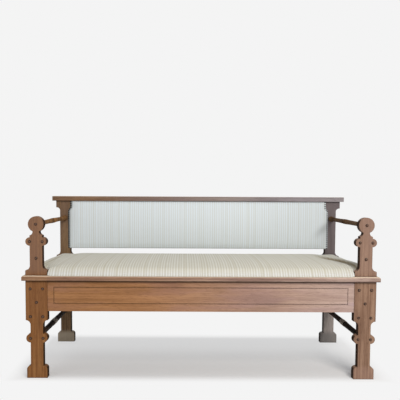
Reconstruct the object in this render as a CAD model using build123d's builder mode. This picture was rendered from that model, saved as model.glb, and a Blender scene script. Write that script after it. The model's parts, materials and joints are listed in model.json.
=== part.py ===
from build123d import *
import math
import os

# An oak settle with plank legs sawn to an outline, turned rods at the sides,
# an upholstered seat on a moulded board frame and an upholstered back panel.
# X runs along the settle, Y from front to back and Z up, from the floor under its middle.

# Overall layout, in millimetres
leg_centres = 1406.0  # along the settle, from leg to leg
depth_over_legs = 576.0  # front of the front legs to back of the rear legs
back_height = 779.0  # floor to the top of the cap board
plank = 31.0  # thickness of every leg
clearance = 0.3  # play left round loose and soft pieces

# Outline that the four legs share
shaft_width = 54.0
foot_width = 88.0
foot_height = 40.0
foot_shoulder_height = 13.0
foot_shoulder_bulge = 3.2
block_width = 94.0
block_drop = 39.4  # from the rails down to the foot of the block
block_rise = 20.4  # from the seat boards up to the top of the block
lower_cove_height = 20.6
upper_cove_height = 24.0
edge_ease = 1.2  # takes the sharpness off sawn edges

# Front legs
arm_height = 664.5  # floor to the axis of the arm rods
disc_radius = 33.5
neck_width = 28.0
neck_shoulder_drop = 47.5
upper_lobe_drop = 74.1
upper_lobe_radius = 18.0
lower_lobe_height = 173.5
lower_lobe_radius = 19.0

# Rear legs
capital_width = 94.0
capital_height = 35.3
capital_cove_height = 14.1

# Rails and their tenons
rail_bottom = 291.4
rail_height = 132.6
rail_recess = 2.0  # how far the long rails stand back from the faces of the legs
tenon_thickness = 10.0
tenon_length = 36.0
tenon_shoulder = 12.0
side_rail_thickness = 25.0
side_rail_recess = 4.5
stub_tenon_length = 14.0
groove_width = 4.0
groove_depth = 2.0
groove_end_margin = 25.6
groove_top_margin = 27.2
groove_bottom_margin = 32.3

# Pegs, driven in from the faces of the legs
peg_head_radius = 6.0
peg_head_height = 3.6
peg_shank_radius = 4.5
peg_stub_length = 9.0
peg_draw_length = 25.0  # passes through the tenon behind it
peg_pair_spacing = 53.0
top_pair_rise = 96.1  # above the bottom of the rails
middle_peg_rise = 37.6
bottom_pair_drop = 23.9
post_peg_rise = 73.4  # above the seat boards
pin_play = 0.05

# Seat boards
board_thickness = 22.0
board_overhang = 13.0
board_nosing = 9.0  # rounding of the moulding's top edge
board_ease = 2.5  # rounding of its bottom edge
board_reach = 75.0  # from the face of the legs to the inner edge of the long boards
bar_width = 45.0
bar_thickness = 16.0
bar_spacing = 440.0
glue_block_leg = 88.0
glue_block_height = 60.0

# Turned rods
stretcher_height = 173.5
stretcher_end_radius = 11.8
stretcher_body_radius = 12.6
stretcher_swell_radius = 14.0
rod_tenon_radius = 7.0
rod_tenon_length = 14.0
arm_end_radius = 10.2
arm_body_radius = 10.9
arm_swell_radius = 11.8
arm_ball_radius = 14.6
arm_collar_radius = 11.8
arm_collar_length = 6.0
ring_spacing = 11.0
ring_radius = 3.0
ring_depth = 1.6
ring_count = 5
taper_length = 14.0  # from the plain rod up to the rings
rod_hollow = 0.6

# Cap board
top_rail_end_overhang = 17.4  # beyond the capitals of the rear legs
top_rail_thickness = 24.0
top_rail_overhang = 12.0
top_rail_ease = 1.5
dowel_radius = 4.0
dowel_length = 28.0
dowel_spacing = 44.0

# Seat upholstery
seat_end_margin = 20.0  # from the outer side of the blocks to the ends of the seat
seat_front_overhang = 3.0  # from the face of the front legs forward to the front of the seat
seat_back_margin = 6.0
seat_front_rise = 33.0
seat_back_rise = 28.0
seat_crown = 11.5
seat_end_rise = 1.0  # of both ends above the middle, at the front and back edges
seat_side_bulge = 4.0
seat_end_round = 7.0
stuffing_round = 4.0
pocket_margin = 36.0
pocket_depth = 19.0
webbing_width = 50.0
webbing_thickness = 1.2
webbing_margin = 10.0
hessian_thickness = 1.0
long_webs = 4
cross_webs = 12
dust_cover_thickness = 1.2

# Back upholstery
panel_rise = 58.5  # above the seat boards
back_frame_width = 60.0
back_rail_share = 0.24  # of the panel's height, for each rail of its frame
back_frame_thickness = 22.0
back_stuffing_thickness = 5.0
cloth_thickness = 1.2
back_crown = 16.0
back_lap = 11.5  # onto the face of each post
capital_lap = 19.5  # onto the face of each capital
back_lap_thickness = 2.0
muntin_width = 55.0
muntin_spacing = 440.0
nail_head_radius = 3.4
nail_head_height = 2.2
nail_shank_radius = 0.8
nail_length = 10.0
nail_pitch = 10.6
nail_inset = 4.5

# Levels and places that follow from the values above
half_span = leg_centres / 2
face = -depth_over_legs / 2
back = depth_over_legs / 2
front_leg_back = face + plank
rear_leg_front = back - plank
rail_top = rail_bottom + rail_height
board_top = rail_top + board_thickness
block_bottom = rail_bottom - block_drop
block_top = board_top + block_rise
block_inner = half_span - block_width / 2
block_outer = half_span + block_width / 2
shaft_inner = half_span - shaft_width / 2
post_top = back_height - top_rail_thickness
capital_bottom = post_top - capital_height
capital_foot = capital_bottom - capital_cove_height
capital_inner = half_span - capital_width / 2
side_rail_outer = block_outer - side_rail_recess
side_rail_inner = side_rail_outer - side_rail_thickness
tenon_low = rail_bottom + tenon_shoulder
tenon_high = rail_top - tenon_shoulder
front_tenon_y = (face + rail_recess + front_leg_back - tenon_thickness) / 2
rear_tenon_y = (rear_leg_front + back - rail_recess - tenon_thickness) / 2
board_outer = block_outer + board_overhang
panel_bottom = board_top + panel_rise
quarter_share = math.sqrt(0.5)
slice_shares = (-1, -0.75, -0.4, 0, 0.4, 0.75, 1)


def facing_front(y):
    """The upright plane at depth y, with its own x along the settle and its own y up."""
    return Plane.XZ.offset(-y)


def add_block(low, high, mode=Mode.ADD):
    """Adds a square block between two opposite corners to the part that is being built."""
    with Locations(tuple((a + b) / 2 for a, b in zip(low, high))):
        Box(*(abs(b - a) for a, b in zip(low, high)), mode=mode)


def plain_board(low, high):
    """A square-edged board between two opposite corners."""
    with BuildPart() as board:
        add_block(low, high)
    return board


def twin(piece):
    """The same piece for the other end of the settle."""
    with BuildPart() as other:
        mirror(piece.part, about=Plane.YZ)
    return other


def save(piece, name):
    """Labels a finished piece and writes its STEP file."""
    piece.part.label = name
    export_step(piece.part, f"parts/{name}.step")


def save_pair(piece, name):
    """Writes a piece of the right-hand end and its twin at the left-hand end."""
    save(piece, f"{name}_right")
    save(twin(piece), f"{name}_left")


def cove(narrow, wide):
    """Three points of a hollow quarter round, upright at narrow and level at wide."""
    middle_x = wide[0] + (narrow[0] - wide[0]) * quarter_share
    middle_y = narrow[1] + (wide[1] - narrow[1]) * quarter_share
    return narrow, (middle_x, middle_y), wide


def lower_leg_outline(shaft_top):
    """Foot, shaft and block about the leg's centre line, up to shaft_top."""
    shaft = shaft_width / 2
    foot = foot_width / 2
    block = block_width / 2
    shoulder_top = foot_height + foot_shoulder_height
    bulge_x = (foot + shaft) / 2 + foot_shoulder_bulge
    bulge_y = (foot_height + shoulder_top) / 2 + foot_shoulder_bulge
    cove_foot = block_bottom - lower_cove_height
    cove_head = block_top + upper_cove_height
    with BuildSketch() as outline:
        with BuildLine():
            Polyline((0, 0), (foot, 0), (foot, foot_height))
            ThreePointArc((foot, foot_height), (bulge_x, bulge_y), (shaft, shoulder_top))
            Line((shaft, shoulder_top), (shaft, cove_foot))
            ThreePointArc(*cove((shaft, cove_foot), (block, block_bottom)))
            Line((block, block_bottom), (block, block_top))
            ThreePointArc(*cove((shaft, cove_head), (block, block_top)))
            Polyline((shaft, cove_head), (shaft, shaft_top), (0, shaft_top))
            mirror(about=Plane.YZ)
        make_face()
    return outline.sketch


def front_leg_outline():
    """A front leg seen from the front: the shared outline with lobes, neck and disc."""
    shaft = shaft_width / 2
    neck = neck_width / 2
    neck_top = arm_height - math.sqrt(disc_radius**2 - neck**2)
    shoulder = arm_height - neck_shoulder_drop
    upper_lobes = arm_height - upper_lobe_drop
    with BuildSketch() as outline:
        add(lower_leg_outline(shoulder))
        with BuildLine():
            Line((0, shoulder), (shaft, shoulder))
            ThreePointArc(*cove((neck, neck_top), (shaft, shoulder)))
            Polyline((neck, neck_top), (neck, arm_height), (0, arm_height))
            mirror(about=Plane.YZ)
        make_face()
        with Locations((0, arm_height)):
            Circle(disc_radius)
        with Locations((-shaft, upper_lobes), (shaft, upper_lobes)):
            Circle(upper_lobe_radius)
        with Locations((-shaft, lower_lobe_height), (shaft, lower_lobe_height)):
            Circle(lower_lobe_radius)
    return outline.sketch


def rear_leg_outline():
    """A rear leg seen from the front: the shared outline and the capital of the back post."""
    shaft = shaft_width / 2
    capital = capital_width / 2
    with BuildSketch() as outline:
        add(lower_leg_outline(capital_foot))
        with BuildLine():
            Line((0, capital_foot), (shaft, capital_foot))
            ThreePointArc(*cove((shaft, capital_foot), (capital, capital_bottom)))
            Polyline((capital, capital_bottom), (capital, post_top), (0, post_top))
            mirror(about=Plane.YZ)
        make_face()
    return outline.sketch


def sawn_leg(outline, y):
    """The right-hand leg of that outline, with its front at depth y and its edges eased."""
    near = y + edge_ease
    far = y + plank - edge_ease
    with BuildPart() as leg:
        for start, amount, taper in ((near, near - far, 0), (near, edge_ease, 45), (far, -edge_ease, 45)):
            with BuildSketch(facing_front(start)):
                with Locations((half_span, 0)):
                    add(outline)
            extrude(amount=amount, taper=taper)
    return leg.part


def pin_planes(spots, y, outward):
    """Planes at depth y for pegs of the right-hand leg, at spots from its centre line."""
    return [Plane(origin=(half_span + x, y, z), z_dir=(0, outward, 0)) for x, z in spots]


def drill(planes, radius, depth):
    """Drills a blind hole at each plane into the part that is being built."""
    with Locations(*planes):
        Hole(radius=radius, depth=depth)


def driven_pin(head_radius, head_height, shank_radius, length):
    """A domed head on a plain shank, standing on its own origin, for pegs and nails."""
    dome_radius = (head_radius**2 + head_height**2) / (2 * head_height)
    dome_angle = math.degrees(math.asin(head_radius / dome_radius))
    shank = [(head_radius, 0), (shank_radius, 0), (shank_radius, -length), (0, -length)]
    with BuildPart() as pin:
        with BuildSketch(Plane.XZ):
            with BuildLine():
                CenterArc((0, head_height - dome_radius), dome_radius, 90 - dome_angle, dome_angle)
                Polyline(*shank, (0, head_height))
            make_face()
        revolve(axis=Axis.Z)
    return pin.part


def long_tenon(y, reach, mode=Mode.ADD):
    """Adds or cuts the tenon of a long rail, which enters the right-hand leg at depth y."""
    far = block_inner + reach
    add_block((block_inner, y, tenon_low), (far, y + tenon_thickness, tenon_high), mode)


def stub_tenon(start, end, mode=Mode.ADD):
    """Adds or cuts a stub tenon of the right-hand side rail, between two depths."""
    middle = (side_rail_inner + side_rail_outer) / 2
    half = tenon_thickness / 2
    add_block((middle - half, start, tenon_low), (middle + half, end, tenon_high), mode)


def sockets(y, outward):
    """Planes for the sockets of the arm rod and the stretcher in the right-hand leg."""
    return pin_planes([(0, arm_height), (0, stretcher_height)], y, outward)


def turned_rod(height, end_radius, body_radius, swell_radius, ball_radius=0):
    """A rod from leg to leg on the right: tenons, rings at mid length and, if given, ball ends."""
    middle = (front_leg_back + rear_leg_front) / 2
    half = (rear_leg_front - front_leg_back) / 2
    swell = ring_count * ring_spacing / 2
    groove = swell_radius - ring_depth
    waist = swell + taper_length
    tip = half + rod_tenon_length
    with BuildPart() as rod:
        with BuildSketch(Plane(origin=(half_span, middle, height), x_dir=(0, 1, 0), z_dir=(1, 0, 0))):
            with BuildLine():
                foot = half
                Polyline((0, 0), (tip, 0), (tip, rod_tenon_radius), (half, rod_tenon_radius))
                if ball_radius:
                    ball_end = half - arm_collar_length
                    half_ball = math.sqrt(ball_radius**2 - end_radius**2)
                    ball_middle = ball_end - half_ball
                    foot = ball_middle - half_ball
                    rim = (ball_end, arm_collar_radius)
                    Polyline((half, rod_tenon_radius), (half, arm_collar_radius), rim, (ball_end, end_radius))
                    ThreePointArc((ball_end, end_radius), (ball_middle, ball_radius), (foot, end_radius))
                else:
                    Line((half, rod_tenon_radius), (half, end_radius))
                hollow = (end_radius + body_radius) / 2 - rod_hollow
                ThreePointArc((foot, end_radius), ((foot + waist) / 2, hollow), (waist, body_radius))
                Polyline((waist, body_radius), (swell, groove), (0, groove))
                mirror(about=Plane.YZ)
            make_face()
        revolve(axis=Axis((half_span, 0, height), (0, 1, 0)))
        for ring in range(ring_count):
            place = middle + (ring - (ring_count - 1) / 2) * ring_spacing
            with Locations(Plane(origin=(half_span, place, height), z_dir=(0, 1, 0))):
                Torus(swell_radius - ring_radius, ring_radius)
    return rod


def seat_section(share):
    """Outline of the seat cover across the seat, share of the way from its middle to an end."""
    front = face - seat_front_overhang
    rear = back - seat_back_margin
    rise = seat_end_rise * share**2
    front_top = board_top + seat_front_rise + rise
    rear_top = board_top + seat_back_rise + rise
    crown_top = (front_top + rear_top) / 2 + seat_crown * (1 - share**4) + clearance
    front_bulge = (front - seat_side_bulge, (board_top + front_top) / 2)
    rear_bulge = (rear + seat_side_bulge, (board_top + rear_top) / 2)
    with BuildSketch() as section:
        with BuildLine():
            Line((front, board_top), (rear, board_top))
            ThreePointArc((front, board_top), front_bulge, (front, front_top))
            ThreePointArc((front, front_top), ((front + rear) / 2, crown_top), (rear, rear_top))
            ThreePointArc((rear, rear_top), rear_bulge, (rear, board_top))
        make_face()
    return section.sketch


def nose(board, axis, end):
    """Rounds the moulding on a board's outside edge, at the end of it that lies first or last along an axis."""
    for level, radius in ((-1, board_nosing), (0, board_ease)):
        rim = board.edges().group_by(Axis.Z)[level]
        fillet(rim.sort_by(axis)[end], radius=radius)


def panel_outline(low, side, head):
    """The panel seen from the front, from low up to the cap board, narrower between the capitals."""
    half = [(0, low), (side, low), (side, capital_foot), (head, capital_bottom), (head, post_top)]
    with BuildSketch() as outline:
        with BuildLine():
            Polyline(*half, (0, post_top))
            Line((0, post_top), (0, low))
        make_face()
        mirror(about=Plane.YZ)
    return outline.sketch


def panel_layer(low, side, head, front, rear):
    """A layer of the back panel between two depths."""
    with BuildPart() as layer:
        with BuildSketch(facing_front(front)):
            add(panel_outline(low, side, head))
        extrude(amount=front - rear)
    return layer


def back_section(share):
    """Outline of the back cover across the panel, share of the way from its middle to an end."""
    flat = rear_leg_front - back_lap_thickness
    peak = flat - back_crown * (1 - share**2) - clearance
    middle = (panel_bottom + post_top) / 2
    with BuildSketch() as section:
        with BuildLine():
            Polyline((flat, post_top), (rear_leg_front, post_top), (rear_leg_front, panel_bottom))
            Line((rear_leg_front, panel_bottom), (flat, panel_bottom))
            ThreePointArc((flat, panel_bottom), (peak, middle), (flat, post_top))
        make_face()
    return section.sketch


os.makedirs("parts", exist_ok=True)

# Pegs of the right-hand legs, each spot given from the leg's centre line
half_pair = peg_pair_spacing / 2
lobe = shaft_width / 2
draw_spots = [(-half_pair, rail_bottom + top_pair_rise)]
rail_spots = [
    (half_pair, rail_bottom + top_pair_rise),
    (0, rail_bottom + middle_peg_rise),
    (-half_pair, rail_bottom - bottom_pair_drop),
    (half_pair, rail_bottom - bottom_pair_drop),
]
face_spots = [
    (0, arm_height),
    (-lobe, arm_height - upper_lobe_drop),
    (lobe, arm_height - upper_lobe_drop),
    (0, board_top + post_peg_rise),
    (-lobe, lower_lobe_height),
    (lobe, lower_lobe_height),
]
stub_peg = driven_pin(peg_head_radius, peg_head_height, peg_shank_radius, peg_stub_length)
draw_peg = driven_pin(peg_head_radius, peg_head_height, peg_shank_radius, peg_draw_length)
peg_hole = peg_shank_radius + pin_play
stub_hole_depth = peg_stub_length + clearance
draw_hole_depth = peg_draw_length + clearance
front_stub_planes = pin_planes(rail_spots + face_spots, face, -1)
front_draw_planes = pin_planes(draw_spots, face, -1)
rear_stub_planes = pin_planes(rail_spots, back, 1)
rear_draw_planes = pin_planes(draw_spots, back, 1)

with BuildPart() as front_leg_pegs:
    with Locations(*front_stub_planes):
        add(stub_peg)
    with Locations(*front_draw_planes):
        add(draw_peg)
save_pair(front_leg_pegs, "front_leg_pegs")

with BuildPart() as rear_leg_pegs:
    with Locations(*rear_stub_planes):
        add(stub_peg)
    with Locations(*rear_draw_planes):
        add(draw_peg)
save_pair(rear_leg_pegs, "rear_leg_pegs")

# Nails down the right-hand edge of the back panel, along the lap of its cover
nail_x = shaft_inner + back_lap - nail_inset
capital_nail_x = capital_inner + capital_lap - nail_inset
nail_start = panel_bottom + nail_head_radius
nail_end = post_top - nail_head_radius
capital_nails = [(capital_nail_x, capital_bottom), (capital_nail_x, nail_end)]
with BuildLine():
    nail_line = Polyline((nail_x, nail_start), (nail_x, capital_foot), *capital_nails)
nail_count = int(nail_line.length / nail_pitch) + 1
nail_spots = [nail_line @ (n / (nail_count - 1)) for n in range(nail_count)]
nail_face = rear_leg_front - back_lap_thickness
nail_planes = [Plane(origin=(spot.X, nail_face, spot.Y), z_dir=(0, -1, 0)) for spot in nail_spots]
nail_hole = nail_shank_radius + pin_play
back_nail = driven_pin(nail_head_radius, nail_head_height, nail_shank_radius, nail_length)

with BuildPart() as back_nails:
    with Locations(*nail_planes):
        add(back_nail)
save_pair(back_nails, "back_nails")

# Dowels between the right-hand post and the cap board
post_middle = (rear_leg_front + back) / 2
dowel_x = [half_span - dowel_spacing / 2, half_span + dowel_spacing / 2]
cap_dowel_planes = [Plane(origin=(x, post_middle, post_top), z_dir=(0, 0, -1)) for x in dowel_x]
dowel_hole = dowel_radius + pin_play
dowel_hole_depth = dowel_length / 2 + clearance

with BuildPart() as cap_dowels:
    with Locations(*[(x, post_middle, post_top) for x in dowel_x]):
        Cylinder(dowel_radius, dowel_length)
    mirror(about=Plane.YZ)
save(cap_dowels, "cap_dowels")

# Legs
with BuildPart() as front_leg:
    add(sawn_leg(front_leg_outline(), face))
    long_tenon(front_tenon_y, tenon_length + clearance, Mode.SUBTRACT)
    stub_tenon(front_leg_back - stub_tenon_length - clearance, front_leg_back, Mode.SUBTRACT)
    drill(front_stub_planes, peg_hole, stub_hole_depth)
    drill(front_draw_planes, peg_hole, draw_hole_depth)
    drill(sockets(front_leg_back, 1), rod_tenon_radius + pin_play, rod_tenon_length + clearance)
save_pair(front_leg, "front_leg")

with BuildPart() as rear_leg:
    add(sawn_leg(rear_leg_outline(), rear_leg_front))
    long_tenon(rear_tenon_y, tenon_length + clearance, Mode.SUBTRACT)
    stub_tenon(rear_leg_front, rear_leg_front + stub_tenon_length + clearance, Mode.SUBTRACT)
    drill(rear_stub_planes, peg_hole, stub_hole_depth)
    drill(rear_draw_planes, peg_hole, draw_hole_depth)
    drill(sockets(rear_leg_front, -1), rod_tenon_radius + pin_play, rod_tenon_length + clearance)
    drill(nail_planes, nail_hole, nail_length + clearance)
    drill([(x, post_middle, post_top) for x in dowel_x], dowel_hole, dowel_hole_depth)
save_pair(rear_leg, "rear_leg")

# Long rails: the front one carries an incised rectangle
rail_face = face + rail_recess
groove_left = -block_inner + groove_end_margin
groove_low = rail_bottom + groove_bottom_margin
groove_high = rail_top - groove_top_margin
with BuildPart() as front_rail:
    add_block((-block_inner, rail_face, rail_bottom), (block_inner, front_leg_back, rail_top))
    with BuildSketch(facing_front(rail_face)):
        with Locations((0, (groove_low + groove_high) / 2)):
            groove = Rectangle(-2 * groove_left, groove_high - groove_low)
        offset(groove, amount=-groove_width, kind=Kind.INTERSECTION, mode=Mode.SUBTRACT)
    extrude(amount=-groove_depth, mode=Mode.SUBTRACT)
    long_tenon(front_tenon_y, tenon_length)
    drill(front_draw_planes, peg_hole, draw_hole_depth)
    split(bisect_by=Plane.YZ)
    mirror(about=Plane.YZ)
save(front_rail, "front_rail")

with BuildPart() as rear_rail:
    add_block((-block_inner, rear_leg_front, rail_bottom), (block_inner, back - rail_recess, rail_top))
    long_tenon(rear_tenon_y, tenon_length)
    drill(rear_draw_planes, peg_hole, draw_hole_depth)
    split(bisect_by=Plane.YZ)
    mirror(about=Plane.YZ)
save(rear_rail, "rear_rail")

# Side rails and the glue blocks in their corners
with BuildPart() as side_rail:
    add_block((side_rail_inner, front_leg_back, rail_bottom), (side_rail_outer, rear_leg_front, rail_top))
    stub_tenon(front_leg_back - stub_tenon_length, front_leg_back)
    stub_tenon(rear_leg_front, rear_leg_front + stub_tenon_length)
save_pair(side_rail, "side_rail")

dust_cover_low = rail_top - dust_cover_thickness
block_low = dust_cover_low - glue_block_height
for end, y, inward in (("front", front_leg_back, 1), ("rear", rear_leg_front, -1)):
    corner = (side_rail_inner, y)
    with BuildPart() as glue_block:
        with BuildSketch(Plane.XY.offset(block_low)):
            with BuildLine():
                along = (side_rail_inner - glue_block_leg, y)
                inside = (side_rail_inner, y + inward * glue_block_leg)
                Polyline(corner, along, inside, close=True)
            make_face()
        extrude(amount=glue_block_height)
    save_pair(glue_block, f"glue_block_{end}")

# Seat boards, with the rounded edge of the moulding on the outside
with BuildPart() as front_board:
    add_block((-block_inner, face - board_overhang, rail_top), (block_inner, face + board_reach, board_top))
    nose(front_board, Axis.Y, 0)
save(front_board, "front_seat_board")

with BuildPart() as rear_board:
    add_block((-block_inner, back - board_reach, rail_top), (block_inner, back + board_overhang, board_top))
    nose(rear_board, Axis.Y, -1)
save(rear_board, "rear_seat_board")

with BuildPart() as side_board:
    add_block((block_inner, front_leg_back, rail_top), (board_outer, rear_leg_front, board_top))
    nose(side_board, Axis.X, -1)
save_pair(side_board, "side_seat_board")

with BuildPart() as collar:
    add_block((block_inner, face - board_overhang, rail_top), (board_outer, front_leg_back, board_top))
    add_block((block_inner, face, rail_top), (block_outer, front_leg_back, board_top), Mode.SUBTRACT)
    for level, radius in ((-1, board_nosing), (0, board_ease)):
        rim = collar.edges().group_by(Axis.Z)[level]
        fillet([rim.sort_by(Axis.X)[-1], rim.sort_by(Axis.Y)[0]], radius=radius)
save_pair(collar, "front_collar")
with BuildPart() as rear_collar:
    mirror(collar.part, about=Plane.XZ)
save_pair(rear_collar, "rear_collar")

with BuildPart() as bars:
    with Locations((bar_spacing / 2, 0, board_top - webbing_thickness - bar_thickness / 2)):
        Box(bar_width, depth_over_legs - 2 * board_reach, bar_thickness)
save_pair(bars, "seat_bar")

# Cap board
cap_front = rear_leg_front - top_rail_overhang
cap_back = back + top_rail_overhang
cap_end = half_span + capital_width / 2 + top_rail_end_overhang
with BuildPart() as cap_board:
    add_block((-cap_end, cap_front, post_top), (cap_end, cap_back, back_height))
    fillet(cap_board.edges(), radius=top_rail_ease)
    drill(cap_dowel_planes, dowel_hole, dowel_hole_depth)
    split(bisect_by=Plane.YZ)
    mirror(about=Plane.YZ)
save(cap_board, "cap_board")

# Turned rods
stretcher_radii = (stretcher_end_radius, stretcher_body_radius, stretcher_swell_radius)
save_pair(turned_rod(stretcher_height, *stretcher_radii), "stretcher")
arm_radii = (arm_end_radius, arm_body_radius, arm_swell_radius, arm_ball_radius)
save_pair(turned_rod(arm_height, *arm_radii), "arm_rod")

# Seat upholstery: webbing, hessian and stuffing in a pocket under the crowned cover
seat_end = block_outer - seat_end_margin
pocket_x = seat_end - pocket_margin
pocket_front = front_leg_back + webbing_margin
pocket_rear = rear_leg_front - webbing_margin
web_low = board_top
web_middle = web_low + webbing_thickness
web_high = web_middle + webbing_thickness
hessian_top = web_high + hessian_thickness
pocket_top = board_top + pocket_depth
slack_x = pocket_x - clearance
slack_front = pocket_front + clearance
slack_rear = pocket_rear - clearance

with BuildPart() as cross_webbing:
    spacing = 2 * (block_inner - webbing_width) / (cross_webs - 1)
    with Locations((0, 0, (web_low + web_middle) / 2)):
        with GridLocations(spacing, 0, cross_webs, 1):
            Box(webbing_width, slack_rear - slack_front, webbing_thickness)
save(cross_webbing, "cross_webbing")

with BuildPart() as long_webbing:
    spacing = (slack_rear - slack_front - webbing_width) / (long_webs - 1)
    with Locations((0, 0, (web_middle + web_high) / 2)):
        with GridLocations(0, spacing, 1, long_webs):
            Box(2 * slack_x, webbing_width, webbing_thickness)
save(long_webbing, "long_webbing")

hessian = plain_board((-slack_x, slack_front, web_high), (slack_x, slack_rear, hessian_top))
save(hessian, "seat_hessian")

with BuildPart() as seat_stuffing:
    add_block((-slack_x, slack_front, hessian_top), (slack_x, slack_rear, pocket_top - clearance))
    fillet(seat_stuffing.edges().group_by(Axis.Z)[-1], radius=stuffing_round)
save(seat_stuffing, "seat_stuffing")

with BuildPart() as seat_cover:
    for share in slice_shares:
        with BuildSketch(Plane.YZ.offset(share * seat_end)):
            add(seat_section(share))
    loft()
    for end in (0, -1):
        fillet(seat_cover.faces().sort_by(Axis.X)[end].edges().sort_by(Axis.Z)[-1], radius=seat_end_round)
    notch_x = block_inner - clearance
    notch_top = board_top + 2 * seat_front_rise
    notch_ends = (
        (face - board_overhang, front_leg_back + clearance),
        (back + board_overhang, rear_leg_front - clearance),
    )
    for sign in (-1, 1):
        for outside, inside in notch_ends:
            near = (sign * notch_x, outside, board_top)
            far = (sign * board_outer, inside, notch_top)
            add_block(near, far, Mode.SUBTRACT)
    add_block((-pocket_x, pocket_front, board_top), (pocket_x, pocket_rear, pocket_top), Mode.SUBTRACT)
save(seat_cover, "seat_cover")

dust_cover = plain_board(
    (-side_rail_inner, front_leg_back, dust_cover_low), (side_rail_inner, rear_leg_front, rail_top)
)
save(dust_cover, "dust_cover")

# Back panel: a frame between the posts, hessian, stuffing, and cloth on both faces
stuffing_back = rear_leg_front + back_stuffing_thickness
frame_front = stuffing_back + hessian_thickness
frame_back = frame_front + back_frame_thickness
panel_side = shaft_inner - clearance
panel_head = capital_inner - clearance
frame_low = panel_bottom + cloth_thickness
save(panel_layer(frame_low, panel_side, panel_head, stuffing_back, frame_front), "back_hessian")
save(panel_layer(frame_low, panel_side, panel_head, rear_leg_front, stuffing_back), "back_stuffing")
cloth_back = frame_back + cloth_thickness
save(panel_layer(panel_bottom, panel_side, panel_head, frame_back, cloth_back), "outside_back")

stile_inner = panel_head - back_frame_width
back_rail_width = (post_top - frame_low) * back_rail_share
frame_rail_low = frame_low + back_rail_width
frame_rail_high = post_top - back_rail_width
with BuildPart() as back_stile:
    add(panel_layer(frame_low, panel_side, panel_head, frame_front, frame_back).part)
    add_block((-board_outer, face, 0), (stile_inner, back, back_height), Mode.SUBTRACT)
save_pair(back_stile, "back_stile")
lower_rail = plain_board((-stile_inner, frame_front, frame_low), (stile_inner, frame_back, frame_rail_low))
save(lower_rail, "back_lower_rail")
upper_rail = plain_board((-stile_inner, frame_front, frame_rail_high), (stile_inner, frame_back, post_top))
save(upper_rail, "back_upper_rail")
muntin_left = (muntin_spacing - muntin_width) / 2
muntin = plain_board(
    (muntin_left, frame_front, frame_rail_low), (muntin_left + muntin_width, frame_back, frame_rail_high)
)
save_pair(muntin, "back_muntin")

lap_x = shaft_inner + back_lap
lap_head_x = capital_inner + capital_lap
nail_lean = math.hypot(nail_x - capital_nail_x, capital_cove_height) / capital_cove_height
nail_room = (nail_head_radius + clearance) * nail_lean
crown_x = nail_x - nail_room
crown_head_x = capital_nail_x - nail_room
with BuildPart() as back_swell:
    for share in slice_shares:
        with BuildSketch(Plane.YZ.offset(share * crown_x)):
            add(back_section(share))
    loft()
    with BuildSketch(facing_front(rear_leg_front)):
        add(panel_outline(panel_bottom, crown_x, crown_head_x))
    extrude(amount=2 * back_crown, mode=Mode.INTERSECT)

with BuildPart() as back_cover:
    add(back_swell.part)
    with BuildSketch(facing_front(rear_leg_front)):
        add(panel_outline(panel_bottom, lap_x, lap_head_x))
    extrude(amount=back_lap_thickness)
    add_block((-panel_side, rear_leg_front, panel_bottom), (panel_side, frame_back, frame_low))
    drill(nail_planes, nail_hole, nail_length)
    split(bisect_by=Plane.YZ)
    mirror(about=Plane.YZ)
save(back_cover, "back_cover")
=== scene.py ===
"""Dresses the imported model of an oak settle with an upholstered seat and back.

The frame gives the joinery, which is given its oak here. The upholstery, the nails and
the pegs are built as finished pieces in the same frame, in metres: X runs along the
settle, Y from front to back and Z up from the floor.
"""

from __future__ import annotations

import json
import logging
import math
from collections.abc import Callable, Iterable, Mapping, Sequence
from dataclasses import astuple, dataclass, replace
from enum import Enum

import bmesh
import bpy
import numpy as np
from bpy.types import GeometryNodeTree, Material, Mesh, Node, NodeSocket, NodeTree, Object, Scene
from mathutils import Matrix, Vector

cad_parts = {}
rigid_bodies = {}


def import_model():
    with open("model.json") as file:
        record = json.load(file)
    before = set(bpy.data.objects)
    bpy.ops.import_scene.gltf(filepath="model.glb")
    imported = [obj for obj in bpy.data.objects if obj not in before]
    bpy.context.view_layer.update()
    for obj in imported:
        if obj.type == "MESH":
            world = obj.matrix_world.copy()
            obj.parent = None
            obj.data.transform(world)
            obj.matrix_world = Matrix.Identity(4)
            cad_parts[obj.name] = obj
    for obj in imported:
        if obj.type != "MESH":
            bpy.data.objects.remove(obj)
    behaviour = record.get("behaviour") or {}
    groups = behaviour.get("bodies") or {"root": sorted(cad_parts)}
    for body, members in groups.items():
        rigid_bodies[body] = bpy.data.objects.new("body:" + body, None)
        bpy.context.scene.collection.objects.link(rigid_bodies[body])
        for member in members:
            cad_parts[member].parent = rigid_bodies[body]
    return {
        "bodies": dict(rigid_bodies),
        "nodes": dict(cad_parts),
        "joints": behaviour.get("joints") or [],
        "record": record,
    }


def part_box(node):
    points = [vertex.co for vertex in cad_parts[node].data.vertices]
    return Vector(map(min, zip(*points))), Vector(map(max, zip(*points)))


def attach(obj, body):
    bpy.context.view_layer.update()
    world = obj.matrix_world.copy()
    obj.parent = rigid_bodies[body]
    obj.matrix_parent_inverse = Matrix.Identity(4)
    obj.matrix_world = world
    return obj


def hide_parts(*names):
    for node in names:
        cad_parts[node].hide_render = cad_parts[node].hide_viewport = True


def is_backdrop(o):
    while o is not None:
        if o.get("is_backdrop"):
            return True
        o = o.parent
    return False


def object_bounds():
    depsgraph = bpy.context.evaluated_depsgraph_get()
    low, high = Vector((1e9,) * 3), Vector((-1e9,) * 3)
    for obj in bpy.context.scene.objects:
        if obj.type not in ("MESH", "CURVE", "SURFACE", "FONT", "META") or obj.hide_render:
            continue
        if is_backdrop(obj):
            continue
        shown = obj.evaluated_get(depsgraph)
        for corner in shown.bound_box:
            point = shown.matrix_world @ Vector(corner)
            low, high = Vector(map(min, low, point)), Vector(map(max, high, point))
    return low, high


log = logging.getLogger("settle")

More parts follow.
